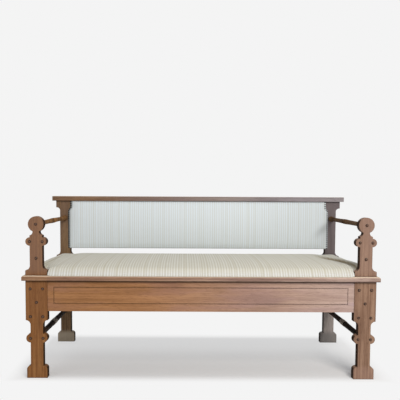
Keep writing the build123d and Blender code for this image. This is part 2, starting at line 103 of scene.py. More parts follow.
MM = 0.001
PHOTO_PIXELS = 400
WEAVE = "weave"  # UV map that follows the threads of a cloth, in metres
PAINTED_SHADE = "fold"  # attribute of painted shade on a cloth: one in the depth of a fold, along a turned edge and where shade falls
TURNING = "turning"  # UV map of a turned head: round it, and from its crown to its rim
SMOOTH = {"interpolation_type": "SMOOTHSTEP"}  # settings of a range that sets in and ends softly
RAIL_TOP = 424 * MM  # where the front rail meets the moulding
SEAT_HEIGHT = 446 * MM  # top of the boards that the seat stands on
TINY = 0.01 * MM  # two spots that lie closer than this are one
SHEET_STEP = 20 * MM  # between the mesh lines of a stretched sheet
SAG_POWER = 0.6  # under one, because a taut sheet gives near its edges already


# Colours, nodes and meshes


def linear(hue: str) -> tuple[float, float, float, float]:
    """Turns a colour as it is seen into the linear values that a shader takes.

    Args:
        hue: An sRGB colour written as "#rrggbb".

    Returns:
        Linear red, green and blue, and an alpha of one.
    """
    seen = [int(hue[i : i + 2], 16) / 255 for i in (1, 3, 5)]
    red, green, blue = (c / 12.92 if c <= 0.04045 else ((c + 0.055) / 1.055) ** 2.4 for c in seen)
    return red, green, blue, 1.0


def put(
    tree: NodeTree,
    kind: str,
    inputs: Mapping[str | int, object] | Sequence[object] = (),
    **settings: object,
) -> Node:
    """Adds a node to a tree.

    Args:
        tree: The tree that gets the node.
        kind: The node's type.
        inputs: The socket that feeds each input or its value, in the inputs' order, or by their
            names or numbers.
        **settings: The node's own properties.

    Returns:
        The new node.
    """
    node = tree.nodes.new(kind)
    for name, value in settings.items():
        setattr(node, name, value)
    for key, value in inputs.items() if isinstance(inputs, Mapping) else enumerate(inputs):
        if isinstance(value, NodeSocket):
            tree.links.new(value, node.inputs[key])
        else:
            node.inputs[key].default_value = value
    return node


@dataclass(frozen=True)
class Layer:
    """A colour that covers what lies below it wherever a pattern has risen from start to full."""

    pattern: NodeSocket
    start: float
    full: float
    hue: NodeSocket | tuple[float, ...]
    share: float = 1.0  # how much of what lies below it hides where it is full
    blend: str = "MIX"


def layered(tree: NodeTree, ground: NodeSocket | tuple[float, ...], *layers: Layer) -> NodeSocket:
    """Lays colours over a ground, one after the other.

    Args:
        tree: The material's tree.
        ground: The colour that lies below them all.
        *layers: The layers, from the lowest up.

    Returns:
        Socket of the colour that is seen in the end.
    """
    for layer in layers:
        span = (layer.pattern, layer.start, layer.full, 0.0, layer.share)
        cover = put(tree, "ShaderNodeMapRange", span, **SMOOTH).outputs[0]
        pair = {0: cover, 6: ground, 7: layer.hue}
        ground = put(tree, "ShaderNodeMix", pair, data_type="RGBA", blend_type=layer.blend).outputs[2]
    return ground


def blank_material(name: str) -> tuple[Material, NodeTree]:
    """Makes a material with an empty node tree, and returns both.

    Args:
        name: The material's name.

    Returns:
        The material and its tree.
    """
    material = bpy.data.materials.new(name)
    material.use_nodes = True
    material.node_tree.nodes.clear()
    return material, material.node_tree


def close_material(
    tree: NodeTree,
    colour: NodeSocket,
    roughness: NodeSocket | float,
    relief: NodeSocket,
    relief_depth: float,
    **shader: object,
) -> None:
    """Joins colour, roughness and relief in one surface shader and its output.

    Args:
        tree: The material's tree.
        colour: Socket of the surface's colour.
        roughness: Its roughness, or the socket that gives it.
        relief: Socket of its relief, from 0 to 1.
        relief_depth: How deep that relief is, in metres.
        **shader: Values for the shader's own sockets, with spaces in their names written as _.
    """
    bump = put(tree, "ShaderNodeBump", {"Height": relief, "Distance": relief_depth, "Strength": 1.0})
    surface = {"Base Color": colour, "Roughness": roughness, "Normal": bump.outputs[0]}
    surface |= {name.replace("_", " "): value for name, value in shader.items()}
    shown = put(tree, "ShaderNodeBsdfPrincipled", surface).outputs[0]
    put(tree, "ShaderNodeOutputMaterial", {"Surface": shown})


def ray_is_seen(tree: NodeTree) -> NodeSocket:
    """Tells whether a ray comes from the camera or from a glossy surface.

    Args:
        tree: The tree of a material or of the world.

    Returns:
        Socket that is one for such a ray.
    """
    path = put(tree, "ShaderNodeLightPath").outputs
    rays = (path["Is Camera Ray"], path["Is Glossy Ray"])
    return put(tree, "ShaderNodeMath", rays, operation="MAXIMUM").outputs[0]


def new_piece(name: str, mesh: Mesh, finish: Material | None = None) -> Object:
    """Puts a mesh into the scene as an object at the origin, with its finish.

    Args:
        name: The object's name.
        mesh: Its mesh.
        finish: Its material, if it gets one here.

    Returns:
        The object.
    """
    piece = bpy.data.objects.new(name, mesh)
    bpy.context.scene.collection.objects.link(piece)
    if finish:
        mesh.materials.clear()
        mesh.materials.append(finish)
    return piece


def baked(piece: Object, name: str) -> Object:
    """Turns what a piece's modifiers make into a plain mesh of its own and removes the piece.

    Args:
        piece: The object with its modifiers.
        name: The name of the plain piece.

    Returns:
        The plain piece.
    """
    bpy.context.view_layer.update()
    graph = bpy.context.evaluated_depsgraph_get()
    mesh = bpy.data.meshes.new_from_object(piece.evaluated_get(graph), depsgraph=graph)
    bpy.data.objects.remove(piece)
    mesh.name = name
    return new_piece(name, mesh)


# Finishes


class Grain(Enum):
    """Which way a piece's fibres run, as the turn that lays them along the pattern's own X."""

    ALONG = (0.0, 0.0, 0.0)
    FRONT_TO_BACK = (0.0, 0.0, -math.pi / 2)
    UPRIGHT = (0.0, math.pi / 2, 0.0)


@dataclass(frozen=True)
class Tone:
    """Four colours of one board: early wood, its body, late wood, and the bloom of old wax on it."""

    light: str
    body: str
    dark: str
    bloom: str


# The oak runs from warm brown at the left end to a paler, pinker brown at the right: the hue is the wood's
# own, and much of the paling is painted light, as if the right end were lit more
LEFT_LEG_OAK = Tone("#966a40", "#7a502d", "#4d2f1b", "#7a5236")
RIGHT_LEG_OAK = Tone("#9a7c67", "#795c4a", "#51392c", "#84695f")
LEFT_RAIL_OAK = Tone("#ae7e55", "#8c613c", "#623f28", "#93694f")
RIGHT_RAIL_OAK = Tone("#c4afa5", "#aa938a", "#89736b", "#ae979a")
LEFT_MOULDING_OAK = Tone("#ab8463", "#8a664b", "#593b2a", "#8f6d5c")
RIGHT_MOULDING_OAK = Tone("#b9a194", "#967c72", "#665047", "#9b827e")
LEFT_REAR_OAK = Tone("#8a6f50", "#6e563e", "#423122", "#725b4c")
RIGHT_REAR_OAK = Tone("#b4aaa2", "#9a9089", "#6b615e", "#a29799")
LEFT_CAP_OAK = Tone("#9f7e60", "#826249", "#533d2d", "#806658")
RIGHT_CAP_OAK = Tone("#aaa2a2", "#928a8b", "#6a6162", "#9c949a")
LEFT_ROD_OAK = Tone("#a87c4e", "#7c5a3a", "#3a291b", "#3c2a1c")
RIGHT_ROD_OAK = Tone("#7c5f43", "#5c4632", "#2c2018", "#33261d")
# The stretchers are nearly black, with painted highlights on the crests of their rings
STRETCHER_OAK = Tone("#6e5646", "#0f0805", "#060302", "#140c08")
# Hands have greyed the tops of the legs. The feet are paler towards the floor; on the rear legs that is
# painted light, against the shade under the seat
LEFT_FRONT_HUES = {"upper_hue": "#7c6457", "upper_share": 0.5}
RIGHT_FRONT_HUES = {"upper_hue": "#8e7466", "upper_share": 0.5, "foot_hue": "#a88a7c", "foot_share": 0.25}
LEFT_REAR_HUES = {"foot_hue": "#b7a892", "foot_share": 0.85}
RIGHT_REAR_HUES = {"upper_hue": "#544a4e", "upper_share": 0.8, "foot_hue": "#767470", "foot_share": 0.65}
BEECH = Tone("#cda77b", "#b88f63", "#946b45", "#c09a72")


@dataclass(frozen=True)
class Oak:
    """Plain-sawn oak, planed, stained and waxed long ago.

    Growth rings show as wavy bands along the grain, and the open pores as fine dark dashes.
    The wax leaves a low satin gloss, and the edges have worn a little paler; on the mouldings and
    the rods that pale edge is also a painted highlight. Painted shade lies on the legs' sides,
    under the moulding and, with the dirt, in the corners. A band gives the values of its pattern
    at which a layer sets in and at which it is full.
    """

    name: str
    left: Tone
    right: Tone
    grain: Grain
    seed: int = 1
    log_distance: float = 3.7  # between the logs of two pieces, so that no two look the same
    heart: tuple[float, float] = (0.045, 0.11)  # from the piece's frame to the log's heart
    fade_half_span: float = 0.68
    fade_middle: float = 0.0
    streak_band: tuple[float, float] = (0.36, 0.66)
    streak_share: float = 1.0
    streak_width: float = 7 * MM
    streak_length: float = 260 * MM
    patch_band: tuple[float, float] = (0.42, 0.7)
    patch_share: float = 0.7
    patch_length: float = 420 * MM
    patch_width: float = 90 * MM
    pale_cloud_band: tuple[float, float] = (0.5, 0.75)
    pale_cloud_share: float = 0.55
    dark_cloud_band: tuple[float, float] = (0.48, 0.25)
    dark_cloud_share: float = 0.4
    cloud_length: float = 240 * MM
    cloud_width: float = 48 * MM
    ring_band: tuple[float, float] = (0.45, 1.0)
    ring_share: float = 0.3
    ring_pitch: float = 4.2 * MM  # real rings are nearer 3 mm, too fine to show
    ring_wander: float = 26 * MM
    wander_scale: tuple[float, float, float] = (3.2, 11.0, 11.0)  # waves to a metre, along and across
    pore_band: tuple[float, float] = (0.56, 0.68)
    pore_share: float = 0.42
    pore_width: float = 1.5 * MM  # real pores are 0.3 mm wide, drawn coarse so that they show
    pore_length: float = 28 * MM
    upper_hue: str = "#000000"  # of the part above the seat
    upper_share: float = 0.0
    upper_start: float = SEAT_HEIGHT - 20 * MM
    upper_full: float = SEAT_HEIGHT + 30 * MM
    foot_hue: str = "#000000"
    foot_share: float = 0.0
    foot_start: float = 70 * MM
    foot_full: float = 40 * MM
    shade_and_dirt_hue: str = "#1c0f08"  # of the painted shade on the legs' sides, under the moulding and under its rounding, and of the dirt and stain in the corners
    overhang_share: float = 0.0  # how strong the painted shadow right under the moulding is
    overhang_start: float = RAIL_TOP - 12 * MM
    overhang_full: float = RAIL_TOP - 3 * MM
    inward_share: float = 0.0  # how dark the painted shade on the sides that face the settle's middle is
    outward_share: float = 0.0  # how much darker the sawn outer sides are: partly stain and partly painted shade
    side_band: tuple[float, float] = (0.5, 0.95)
    # Edges worn paler; on the mouldings and the rods this is also a painted highlight
    wear_and_highlight_share: float = 0.4
    edge_band: tuple[float, float] = (0.02, 0.3)
    edge_radius: float = 2.2 * MM
    axis: tuple[float, float] | None = None  # of a turned rod, across the settle and up
    turned_radius: float = 0.0  # of the rod's rings, whose crests get a painted highlight
    ring_highlight_hue: str = "#c9bdb0"
    ring_highlight_start: float = 1.1 * MM  # below the rings' crests
    ring_highlight_full: float = 0.3 * MM
    crest_share: float = 0.0  # how strong the painted highlight on the rounding between the top and the outer side is
    crest_highlight_hue: str = "#dccab2"
    crest_band: tuple[float, float] = (0.45, 0.8)
    level_band: tuple[float, float] = (0.999, 0.96)
    # Painted shade on the faces of a moulding that look down
    under_band: tuple[float, float] = (0.3, -0.5)
    under_share: float = 0.6
    # Dirt and old wax in the corners, which also darken them as painted shade
    dirt_and_shade_share: float = 0.75
    dirt_and_shade_band: tuple[float, float] = (0.1, 0.75)
    dirt_and_shade_reach: float = 7 * MM
    gloss: float = 0.15
    wax_roughness: tuple[float, float] = (0.5, 0.66)
    wax_band: tuple[float, float] = (0.3, 0.7)
    relief_depth: float = 0.25 * MM
    pore_depth_share: float = 0.7
    ring_depth_share: float = 0.3

    def build(self) -> Material:
        """Makes the material.

        Returns:
            The material.
        """
        material, tree = blank_material(self.name)
        place = put(tree, "ShaderNodeTexCoord").outputs
        log_place = (self.log_distance * self.seed, *self.heart)
        turned = {"Vector": place["Object"], "Location": log_place, "Rotation": self.grain.value}
        board = put(tree, "ShaderNodeMapping", turned).outputs[0]
        patches = self.noise(tree, board, self.patch_length, self.patch_width, detail=2.0)
        streaks = self.noise(tree, board, self.streak_length, self.streak_width, detail=4.0)
        pores = self.noise(tree, board, self.pore_length, self.pore_width, detail=1.0)
        clouds = self.noise(tree, board, self.cloud_length, self.cloud_width, detail=2.0)
        rings = self.rings(tree, board)
        # Each tone runs from the left end to the right, partly as painted light that grows to the right
        tones = zip(astuple(self.left), astuple(self.right))
        light, body, dark, bloom = (self.graded_end_to_end(tree, place["Object"], *ends) for ends in tones)
        layers = [
            Layer(streaks, *self.streak_band, light, self.streak_share),
            Layer(clouds, *self.pale_cloud_band, light, self.pale_cloud_share),
            Layer(patches, *self.patch_band, bloom, self.patch_share),
            Layer(clouds, *self.dark_cloud_band, dark, self.dark_cloud_share),
            Layer(rings, *self.ring_band, dark, self.ring_share),
            Layer(pores, *self.pore_band, dark, self.pore_share),
        ]
        height = put(tree, "ShaderNodeSeparateXYZ", (place["Object"],)).outputs[2]
        if self.upper_share:
            upper = linear(self.upper_hue)
            layers.append(Layer(height, self.upper_start, self.upper_full, upper, self.upper_share))
        # Paler feet; on the rear legs this is painted light against the shade under the seat
        if self.foot_share:
            foot = linear(self.foot_hue)
            layers.append(Layer(height, self.foot_start, self.foot_full, foot, self.foot_share))
        colour = layered(tree, body, *layers)
        # Painted shadow under the moulding
        if self.overhang_share:
            colour = self.shaded_overhang(tree, height, colour)
        satin = put(tree, "ShaderNodeMapRange", (streaks, *self.wax_band, *self.wax_roughness))
        roughness = satin.outputs[0]
        # Painted shade on the legs' sides
        if self.inward_share:
            colour, sawn = self.shaded_sides(tree, place, colour)
            roughness = put(tree, "ShaderNodeMath", (roughness, sawn), operation="MAXIMUM").outputs[0]
        # Edges worn paler, and on the mouldings and rods also a painted highlight
        colour = layered(tree, colour, Layer(self.wear(tree), *self.edge_band, light, self.wear_and_highlight_share))
        # Painted highlights on the crests of a stretcher's rings
        if self.axis:
            colour = layered(tree, colour, self.ring_highlights(tree, place))
        # Painted highlight on a moulding's rounding and painted shade on its underside
        if self.crest_share:
            colour = self.crest_highlight_and_shade(tree, place, colour)
        # Dirt and old wax in the corners, also as painted shade
        colour = layered(tree, colour, self.dirt_and_shade(tree))
        relief = 1.0
        for pattern, band, share in (
            (pores, self.pore_band, self.pore_depth_share),
            (rings, self.ring_band, self.ring_depth_share),
        ):
            mask = put(tree, "ShaderNodeMapRange", (pattern, *band), **SMOOTH).outputs[0]
            relief = put(tree, "ShaderNodeMath", (mask, -share, relief), operation="MULTIPLY_ADD").outputs[0]
        close_material(tree, colour, roughness, relief, self.relief_depth, Specular_IOR_Level=self.gloss)
        return material

    def noise(
        self,
        tree: NodeTree,
        board: NodeSocket,
        length: float,
        width: float,
        detail: float,
    ) -> NodeSocket:
        """Adds noise whose blots are so long and so wide along and across the grain.

        Args:
            tree: The material's tree.
            board: Socket of the place in the board, with the grain along X.
            length: Length of a blot, in metres.
            width: Its width.
            detail: How many finer noises lie over it.

        Returns:
            Socket of the noise.
        """
        scale = (1 / length, 1 / width, 1 / width)
        stretched = put(tree, "ShaderNodeMapping", {"Vector": board, "Scale": scale}).outputs[0]
        inputs = {"Vector": stretched, "Scale": 1.0, "Detail": detail, "Roughness": 0.55}
        return put(tree, "ShaderNodeTexNoise", inputs).outputs["Fac"]

    def rings(self, tree: NodeTree, board: NodeSocket) -> NodeSocket:
        """Adds growth rings about the log's heart, which wander along the grain.

        Args:
            tree: The material's tree.
            board: Socket of the place in the board, with the grain along X.

        Returns:
            Socket that rises from 0 to 1 over each ring.
        """
        stretched = put(tree, "ShaderNodeMapping", {"Vector": board, "Scale": self.wander_scale}).outputs[0]
        wander = put(tree, "ShaderNodeTexNoise", {"Vector": stretched, "Scale": 1.0, "Detail": 3.0})
        place = wander.outputs["Color"]
        reach = (0.0, self.ring_wander, self.ring_wander)
        for operation, other in (("SUBTRACT", (0.5, 0.5, 0.5)), ("MULTIPLY", reach), ("ADD", board)):
            place = put(tree, "ShaderNodeVectorMath", (place, other), operation=operation).outputs[0]
        # The wave's own period is a tenth of pi at a scale of one
        scale = math.pi / 10 / self.ring_pitch
        rings = {"Vector": place, "Scale": scale, "Distortion": 0.6, "Detail": 2.0}
        settings = {"wave_type": "RINGS", "rings_direction": "X", "wave_profile": "SAW"}
        return put(tree, "ShaderNodeTexWave", rings, **settings).outputs["Fac"]

    def graded_end_to_end(self, tree: NodeTree, place: NodeSocket, left: str, right: str) -> NodeSocket:
        """Adds a colour that runs from the left end of the settle to its right end, partly painted light
        that grows towards the right.

        Args:
            tree: The material's tree.
            place: Socket of the place in the settle.
            left: The colour at the left end.
            right: The colour at the right end.

        Returns:
            Socket of the colour.
        """
        along = put(tree, "ShaderNodeSeparateXYZ", (place,)).outputs[0]
        low, high = self.fade_middle - self.fade_half_span, self.fade_middle + self.fade_half_span
        return layered(tree, linear(left), Layer(along, low, high, linear(right)))

    def shaded_overhang(self, tree: NodeTree, height: NodeSocket, colour: NodeSocket) -> NodeSocket:
        """Paints a shadow on the strip right under the moulding.

        Args:
            tree: The material's tree.
            height: Socket of the height above the floor.
            colour: The colour so far.

        Returns:
            Socket of the changed colour.
        """
        rising = (height, self.overhang_start, self.overhang_full, 0.0, self.overhang_share)
        ending = (height, RAIL_TOP, RAIL_TOP + MM, 1.0, 0.0)
        ends = [put(tree, "ShaderNodeMapRange", span, **SMOOTH).outputs[0] for span in (rising, ending)]
        shade = put(tree, "ShaderNodeMath", ends, operation="MULTIPLY").outputs[0]
        pair = {0: shade, 6: colour, 7: linear(self.shade_and_dirt_hue)}
        return put(tree, "ShaderNodeMix", pair, data_type="RGBA").outputs[2]

    def shaded_sides(
        self,
        tree: NodeTree,
        place: Mapping[str, NodeSocket],
        colour: NodeSocket,
    ) -> tuple[NodeSocket, NodeSocket]:
        """Darkens a leg's sawn sides with painted shade and stain, the one towards the settle's middle more
        than the outer one.

        Args:
            tree: The material's tree.
            place: The outputs of its Texture Coordinate node.
            colour: The colour so far.

        Returns:
            Sockets of the darkened colour and of a mask of the sawn sides, which stay matt.
        """
        along, facing = (
            put(tree, "ShaderNodeSeparateXYZ", (place[way],)).outputs[0] for way in ("Object", "Normal")
        )
        end = put(tree, "ShaderNodeMath", (along,), operation="SIGN").outputs[0]
        outward = put(tree, "ShaderNodeMath", (end, facing), operation="MULTIPLY").outputs[0]
        inward = put(tree, "ShaderNodeMath", (outward, -1.0), operation="MULTIPLY").outputs[0]
        colour = layered(
            tree,
            colour,
            Layer(inward, *self.side_band, linear(self.shade_and_dirt_hue), self.inward_share),
            Layer(outward, *self.side_band, linear(self.shade_and_dirt_hue), self.outward_share),
        )
        return colour, put(tree, "ShaderNodeMapRange", (inward, *self.side_band), **SMOOTH).outputs[0]

    def wear(self, tree: NodeTree) -> NodeSocket:
        """Tells how sharply the surface turns, which is where hands and cloths have worn it.

        Args:
            tree: The material's tree.

        Returns:
            Socket that is 0 on a flat and rises at an edge.
        """
        rounded = put(tree, "ShaderNodeBevel", {"Radius": self.edge_radius}, samples=4).outputs[0]
        true = put(tree, "ShaderNodeNewGeometry").outputs["Normal"]
        both = put(tree, "ShaderNodeVectorMath", (rounded, true), operation="DOT_PRODUCT")
        level = both.outputs["Value"]
        return put(tree, "ShaderNodeMath", (1.0, level), operation="SUBTRACT").outputs[0]

    def ring_highlights(self, tree: NodeTree, place: Mapping[str, NodeSocket]) -> Layer:
        """Gives the painted highlight on the parts of a rod that stand furthest out from its axis.

        Args:
            tree: The material's tree.
            place: The outputs of its Texture Coordinate node.

        Returns:
            The layer.
        """
        across, up = self.axis
        centred = {"Vector": place["Object"], "Location": (-across, 0.0, -up), "Scale": (1.0, 0.0, 1.0)}
        section = put(tree, "ShaderNodeMapping", centred).outputs[0]
        out = put(tree, "ShaderNodeVectorMath", (section,), operation="LENGTH").outputs["Value"]
        start, full = self.turned_radius - self.ring_highlight_start, self.turned_radius - self.ring_highlight_full
        return Layer(out, start, full, linear(self.ring_highlight_hue))

    def crest_highlight_and_shade(
        self,
        tree: NodeTree,
        place: Mapping[str, NodeSocket],
        colour: NodeSocket,
    ) -> NodeSocket:
        """Paints a highlight on the rounding of a moulding, and shade on its face towards its lower edge.

        Args:
            tree: The material's tree.
            place: The outputs of its Texture Coordinate node.
            colour: The colour so far.

        Returns:
            Socket of the changed colour.
        """
        rise = put(tree, "ShaderNodeSeparateXYZ", (place["Normal"],)).outputs[2]
        share = self.crest_share
        for band in (self.crest_band, self.level_band):
            mask = put(tree, "ShaderNodeMapRange", (rise, *band), **SMOOTH).outputs[0]
            share = put(tree, "ShaderNodeMath", (mask, share), operation="MULTIPLY").outputs[0]
        under = Layer(rise, *self.under_band, linear(self.shade_and_dirt_hue), self.under_share)
        pair = {0: share, 6: layered(tree, colour, under), 7: linear(self.crest_highlight_hue)}
        return put(tree, "ShaderNodeMix", pair, data_type="RGBA").outputs[2]

    def dirt_and_shade(self, tree: NodeTree) -> Layer:
        """Gives the layer of dirt and wax that has gathered in the corners, which also stands for the shade
        there.

        Args:
            tree: The material's tree.

        Returns:
            The layer.
        """
        open_air = put(tree, "ShaderNodeAmbientOcclusion", {"Distance": self.dirt_and_shade_reach}, samples=6)
        ends = (1.0, open_air.outputs["AO"])
        dirt = put(tree, "ShaderNodeMath", ends, operation="SUBTRACT").outputs[0]
        return Layer(dirt, *self.dirt_and_shade_band, linear(self.shade_and_dirt_hue), self.dirt_and_shade_share)


@dataclass(frozen=True)
class TurnedHeadFinish:
    """A turned head that has darkened round its rim and is paler on its crown; on the oak pegs the dark rim
    is also painted shade and the pale crown a painted highlight.
    """

    name: str
    crown: str
    rim: str
    metallic: float
    roughness: float
    rim_start: float = 0.45
    rim_full: float = 1.1
    gloss: float = 0.4
    grit: float = 2 * MM
    grit_share: float = 0.3
    relief_depth: float = 0.15 * MM

    def build(self) -> Material:
        """Makes the material.

        Returns:
            The material.
        """
        material, tree = blank_material(self.name)
        turning = put(tree, "ShaderNodeUVMap", uv_map=TURNING).outputs[0]
        out = put(tree, "ShaderNodeSeparateXYZ", (turning,)).outputs[1]
        place = put(tree, "ShaderNodeTexCoord").outputs["Object"]
        grit = {"Vector": place, "Scale": 1 / self.grit, "Detail": 2.0}
        spots = put(tree, "ShaderNodeTexNoise", grit).outputs["Fac"]
        frayed = (spots, self.grit_share, out)
        reach = put(tree, "ShaderNodeMath", frayed, operation="MULTIPLY_ADD").outputs[0]
        dark = Layer(reach, self.rim_start, self.rim_full, linear(self.rim))
        colour = layered(tree, linear(self.crown), dark)
        polish = {"Metallic": self.metallic, "Specular_IOR_Level": self.gloss}
        close_material(tree, colour, self.roughness, spots, self.relief_depth, **polish)
        return material


@dataclass(frozen=True)
class StripedCloth:
    """Woven cotton and linen furnishing cloth with narrow stripes along its length.

    Pairs of close warp threads make pale raised cords, with duller ground between them, and
    the tone wanders from stripe to stripe, as it does in cloth with space-dyed yarn. A band
    gives the values of its pattern at which a layer sets in and at which it is full.
    """

    name: str
    cord: str
    ground: str
    accent: str
    # of the painted shade in the folds, along turned edges and where shade falls
    fold_hue: str
    top_hue: str = "#ffffff"  # multiplied into the faces that look up: painted shade, and the yellowing of use
    top_band: tuple[float, float] = (0.35, 0.97)
    stripe_pitch: float = 11.4 * MM
    stripe_drift: float = 0.8  # of a pitch, by which the stripes lie closer or wider
    drift_width: float = 34 * MM
    cord_band: tuple[float, float] = (0.12, 0.36)
    accent_band: tuple[float, float] = (0.45, 0.75)
    accent_share: float = 0.4
    accent_pitches: float = 1.7  # stripes over which the accent comes and goes
    slub_band: tuple[float, float] = (0.5, 0.75)
    slub_share: float = 0.3
    slub_length: float = 45 * MM
    slub_fineness: float = 0.7  # slubs to a thread's width
    thread: float = 1.6 * MM  # real threads are 0.5 mm, drawn coarse so that they show
    thread_depth_share: float = 0.35
    cord_depth_share: float = 0.65
    relief_depth: float = 0.3 * MM
    roughness: float = 0.88

    def build(self) -> Material:
        """Makes the material.

        Returns:
            The material.
        """
        material, tree = blank_material(self.name)
        weave = put(tree, "ShaderNodeUVMap", uv_map=WEAVE).outputs[0]
        across, along, _ = put(tree, "ShaderNodeSeparateXYZ", (weave,)).outputs
        count = put(tree, "ShaderNodeMath", (across, self.stripe_pitch), operation="DIVIDE").outputs[0]
        drift = (self.line_noise(tree, across, self.drift_width), self.stripe_drift, count)
        phase = put(tree, "ShaderNodeMath", drift, operation="MULTIPLY_ADD").outputs[0]
        ridge = put(tree, "ShaderNodeMath", (phase, 0.5), operation="PINGPONG").outputs[0]
        tone = self.line_noise(tree, across, self.stripe_pitch * self.accent_pitches)
        fine = (self.slub_fineness / self.thread, 1 / self.slub_length, 1.0)
        stretched = put(tree, "ShaderNodeMapping", {"Vector": weave, "Scale": fine}).outputs[0]
        slub_noise = {"Vector": stretched, "Scale": 1.0, "Detail": 3.0}
        slubs = put(tree, "ShaderNodeTexNoise", slub_noise).outputs["Fac"]
        normal = put(tree, "ShaderNodeTexCoord").outputs["Normal"]
        rise = put(tree, "ShaderNodeSeparateXYZ", (normal,)).outputs[2]
        colour = layered(
            tree,
            linear(self.ground),
            Layer(ridge, *self.cord_band, linear(self.cord)),
            Layer(tone, *self.accent_band, linear(self.accent), self.accent_share),
            Layer(slubs, *self.slub_band, linear(self.ground), self.slub_share),
            # The faces that look up, darker as painted shade and yellower with use
            Layer(rise, *self.top_band, linear(self.top_hue), blend="MULTIPLY"),
        )
        # Painted shade in the folds and along the turned edges
        fold = put(tree, "ShaderNodeAttribute", attribute_name=PAINTED_SHADE).outputs["Fac"]
        shaded = {0: fold, 6: colour, 7: linear(self.fold_hue)}
        colour = put(tree, "ShaderNodeMix", shaded, data_type="RGBA").outputs[2]
        cord = put(tree, "ShaderNodeMapRange", (ridge, *self.cord_band), **SMOOTH).outputs[0]
        waves = [self.thread_wave(tree, way) for way in (across, along)]
        threads = put(tree, "ShaderNodeMath", waves, operation="MULTIPLY").outputs[0]
        raised = put(tree, "ShaderNodeMath", (cord, self.cord_depth_share), operation="MULTIPLY").outputs[0]
        both = (threads, self.thread_depth_share, raised)
        relief = put(tree, "ShaderNodeMath", both, operation="MULTIPLY_ADD").outputs[0]
        nap = {"Specular_IOR_Level": 0.25, "Sheen_Weight": 0.12, "Sheen_Roughness": 0.5}
        close_material(tree, colour, self.roughness, relief, self.relief_depth, **nap)
        return material

    def line_noise(self, tree: NodeTree, across: NodeSocket, width: float) -> NodeSocket:
        """Adds noise that changes only across the stripes, over about that width."""
        inputs = {"W": across, "Scale": 1 / width, "Detail": 2.0}
        return put(tree, "ShaderNodeTexNoise", inputs, noise_dimensions="1D").outputs["Fac"]

    def thread_wave(self, tree: NodeTree, along: NodeSocket) -> NodeSocket:
        """Adds a wave from 0 to 1 with one crest for each thread.

        Args:
            tree: The material's tree.
            along: Socket of the place across the threads.

        Returns:
            Socket of the wave.
        """
        turns = (along, 2 * math.pi / self.thread)
        angle = put(tree, "ShaderNodeMath", turns, operation="MULTIPLY").outputs[0]
        wave = put(tree, "ShaderNodeMath", (angle,), operation="SINE").outputs[0]
        return put(tree, "ShaderNodeMath", (wave, 0.5, 0.5), operation="MULTIPLY_ADD").outputs[0]


@dataclass(frozen=True)
class PlainWeave:
    """Plain-woven stuff such as lining, hessian or webbing, matt, with its threads showing."""

    name: str
    thread_hue: str
    gap_hue: str
    thread: float = 2 * MM
    thread_share: float = 0.5
    dust_share: float = 0.6
    dust_fineness: float = 0.2  # blots of dust to a thread's width
    thread_band: tuple[float, float] = (0.2, 0.8)
    relief_depth: float = 0.4 * MM
    roughness: float = 0.95

    def build(self) -> Material:
        """Makes the material.

        Returns:
            The material.
        """
        material, tree = blank_material(self.name)
        place = put(tree, "ShaderNodeTexCoord").outputs["Object"]
        across, depth, height = put(tree, "ShaderNodeSeparateXYZ", (place,)).outputs
        along = put(tree, "ShaderNodeMath", (depth, height), operation="ADD").outputs[0]
        waves = []
        for way in (across, along):
            turns = (way, 2 * math.pi / self.thread)
            angle = put(tree, "ShaderNodeMath", turns, operation="MULTIPLY").outputs[0]
            waves.append(put(tree, "ShaderNodeMath", (angle,), operation="SINE").outputs[0])
        crossed = put(tree, "ShaderNodeMath", waves, operation="MULTIPLY").outputs[0]
        threads = put(tree, "ShaderNodeMath", (crossed, 0.5, 0.5), operation="MULTIPLY_ADD").outputs[0]
        inputs = {"Vector": place, "Scale": self.dust_fineness / self.thread, "Detail": 3.0}
        dust = put(tree, "ShaderNodeTexNoise", inputs).outputs["Fac"]
        raised = put(tree, "ShaderNodeMath", (threads, self.thread_share), operation="MULTIPLY").outputs[0]
        both = (dust, self.dust_share, raised)
        level = put(tree, "ShaderNodeMath", both, operation="MULTIPLY_ADD").outputs[0]
        threads_seen = Layer(level, *self.thread_band, linear(self.thread_hue))
        colour = layered(tree, linear(self.gap_hue), threads_seen)
        close_material(tree, colour, self.roughness, threads, self.relief_depth, Specular_IOR_Level=0.2)
        return material


# Joinery


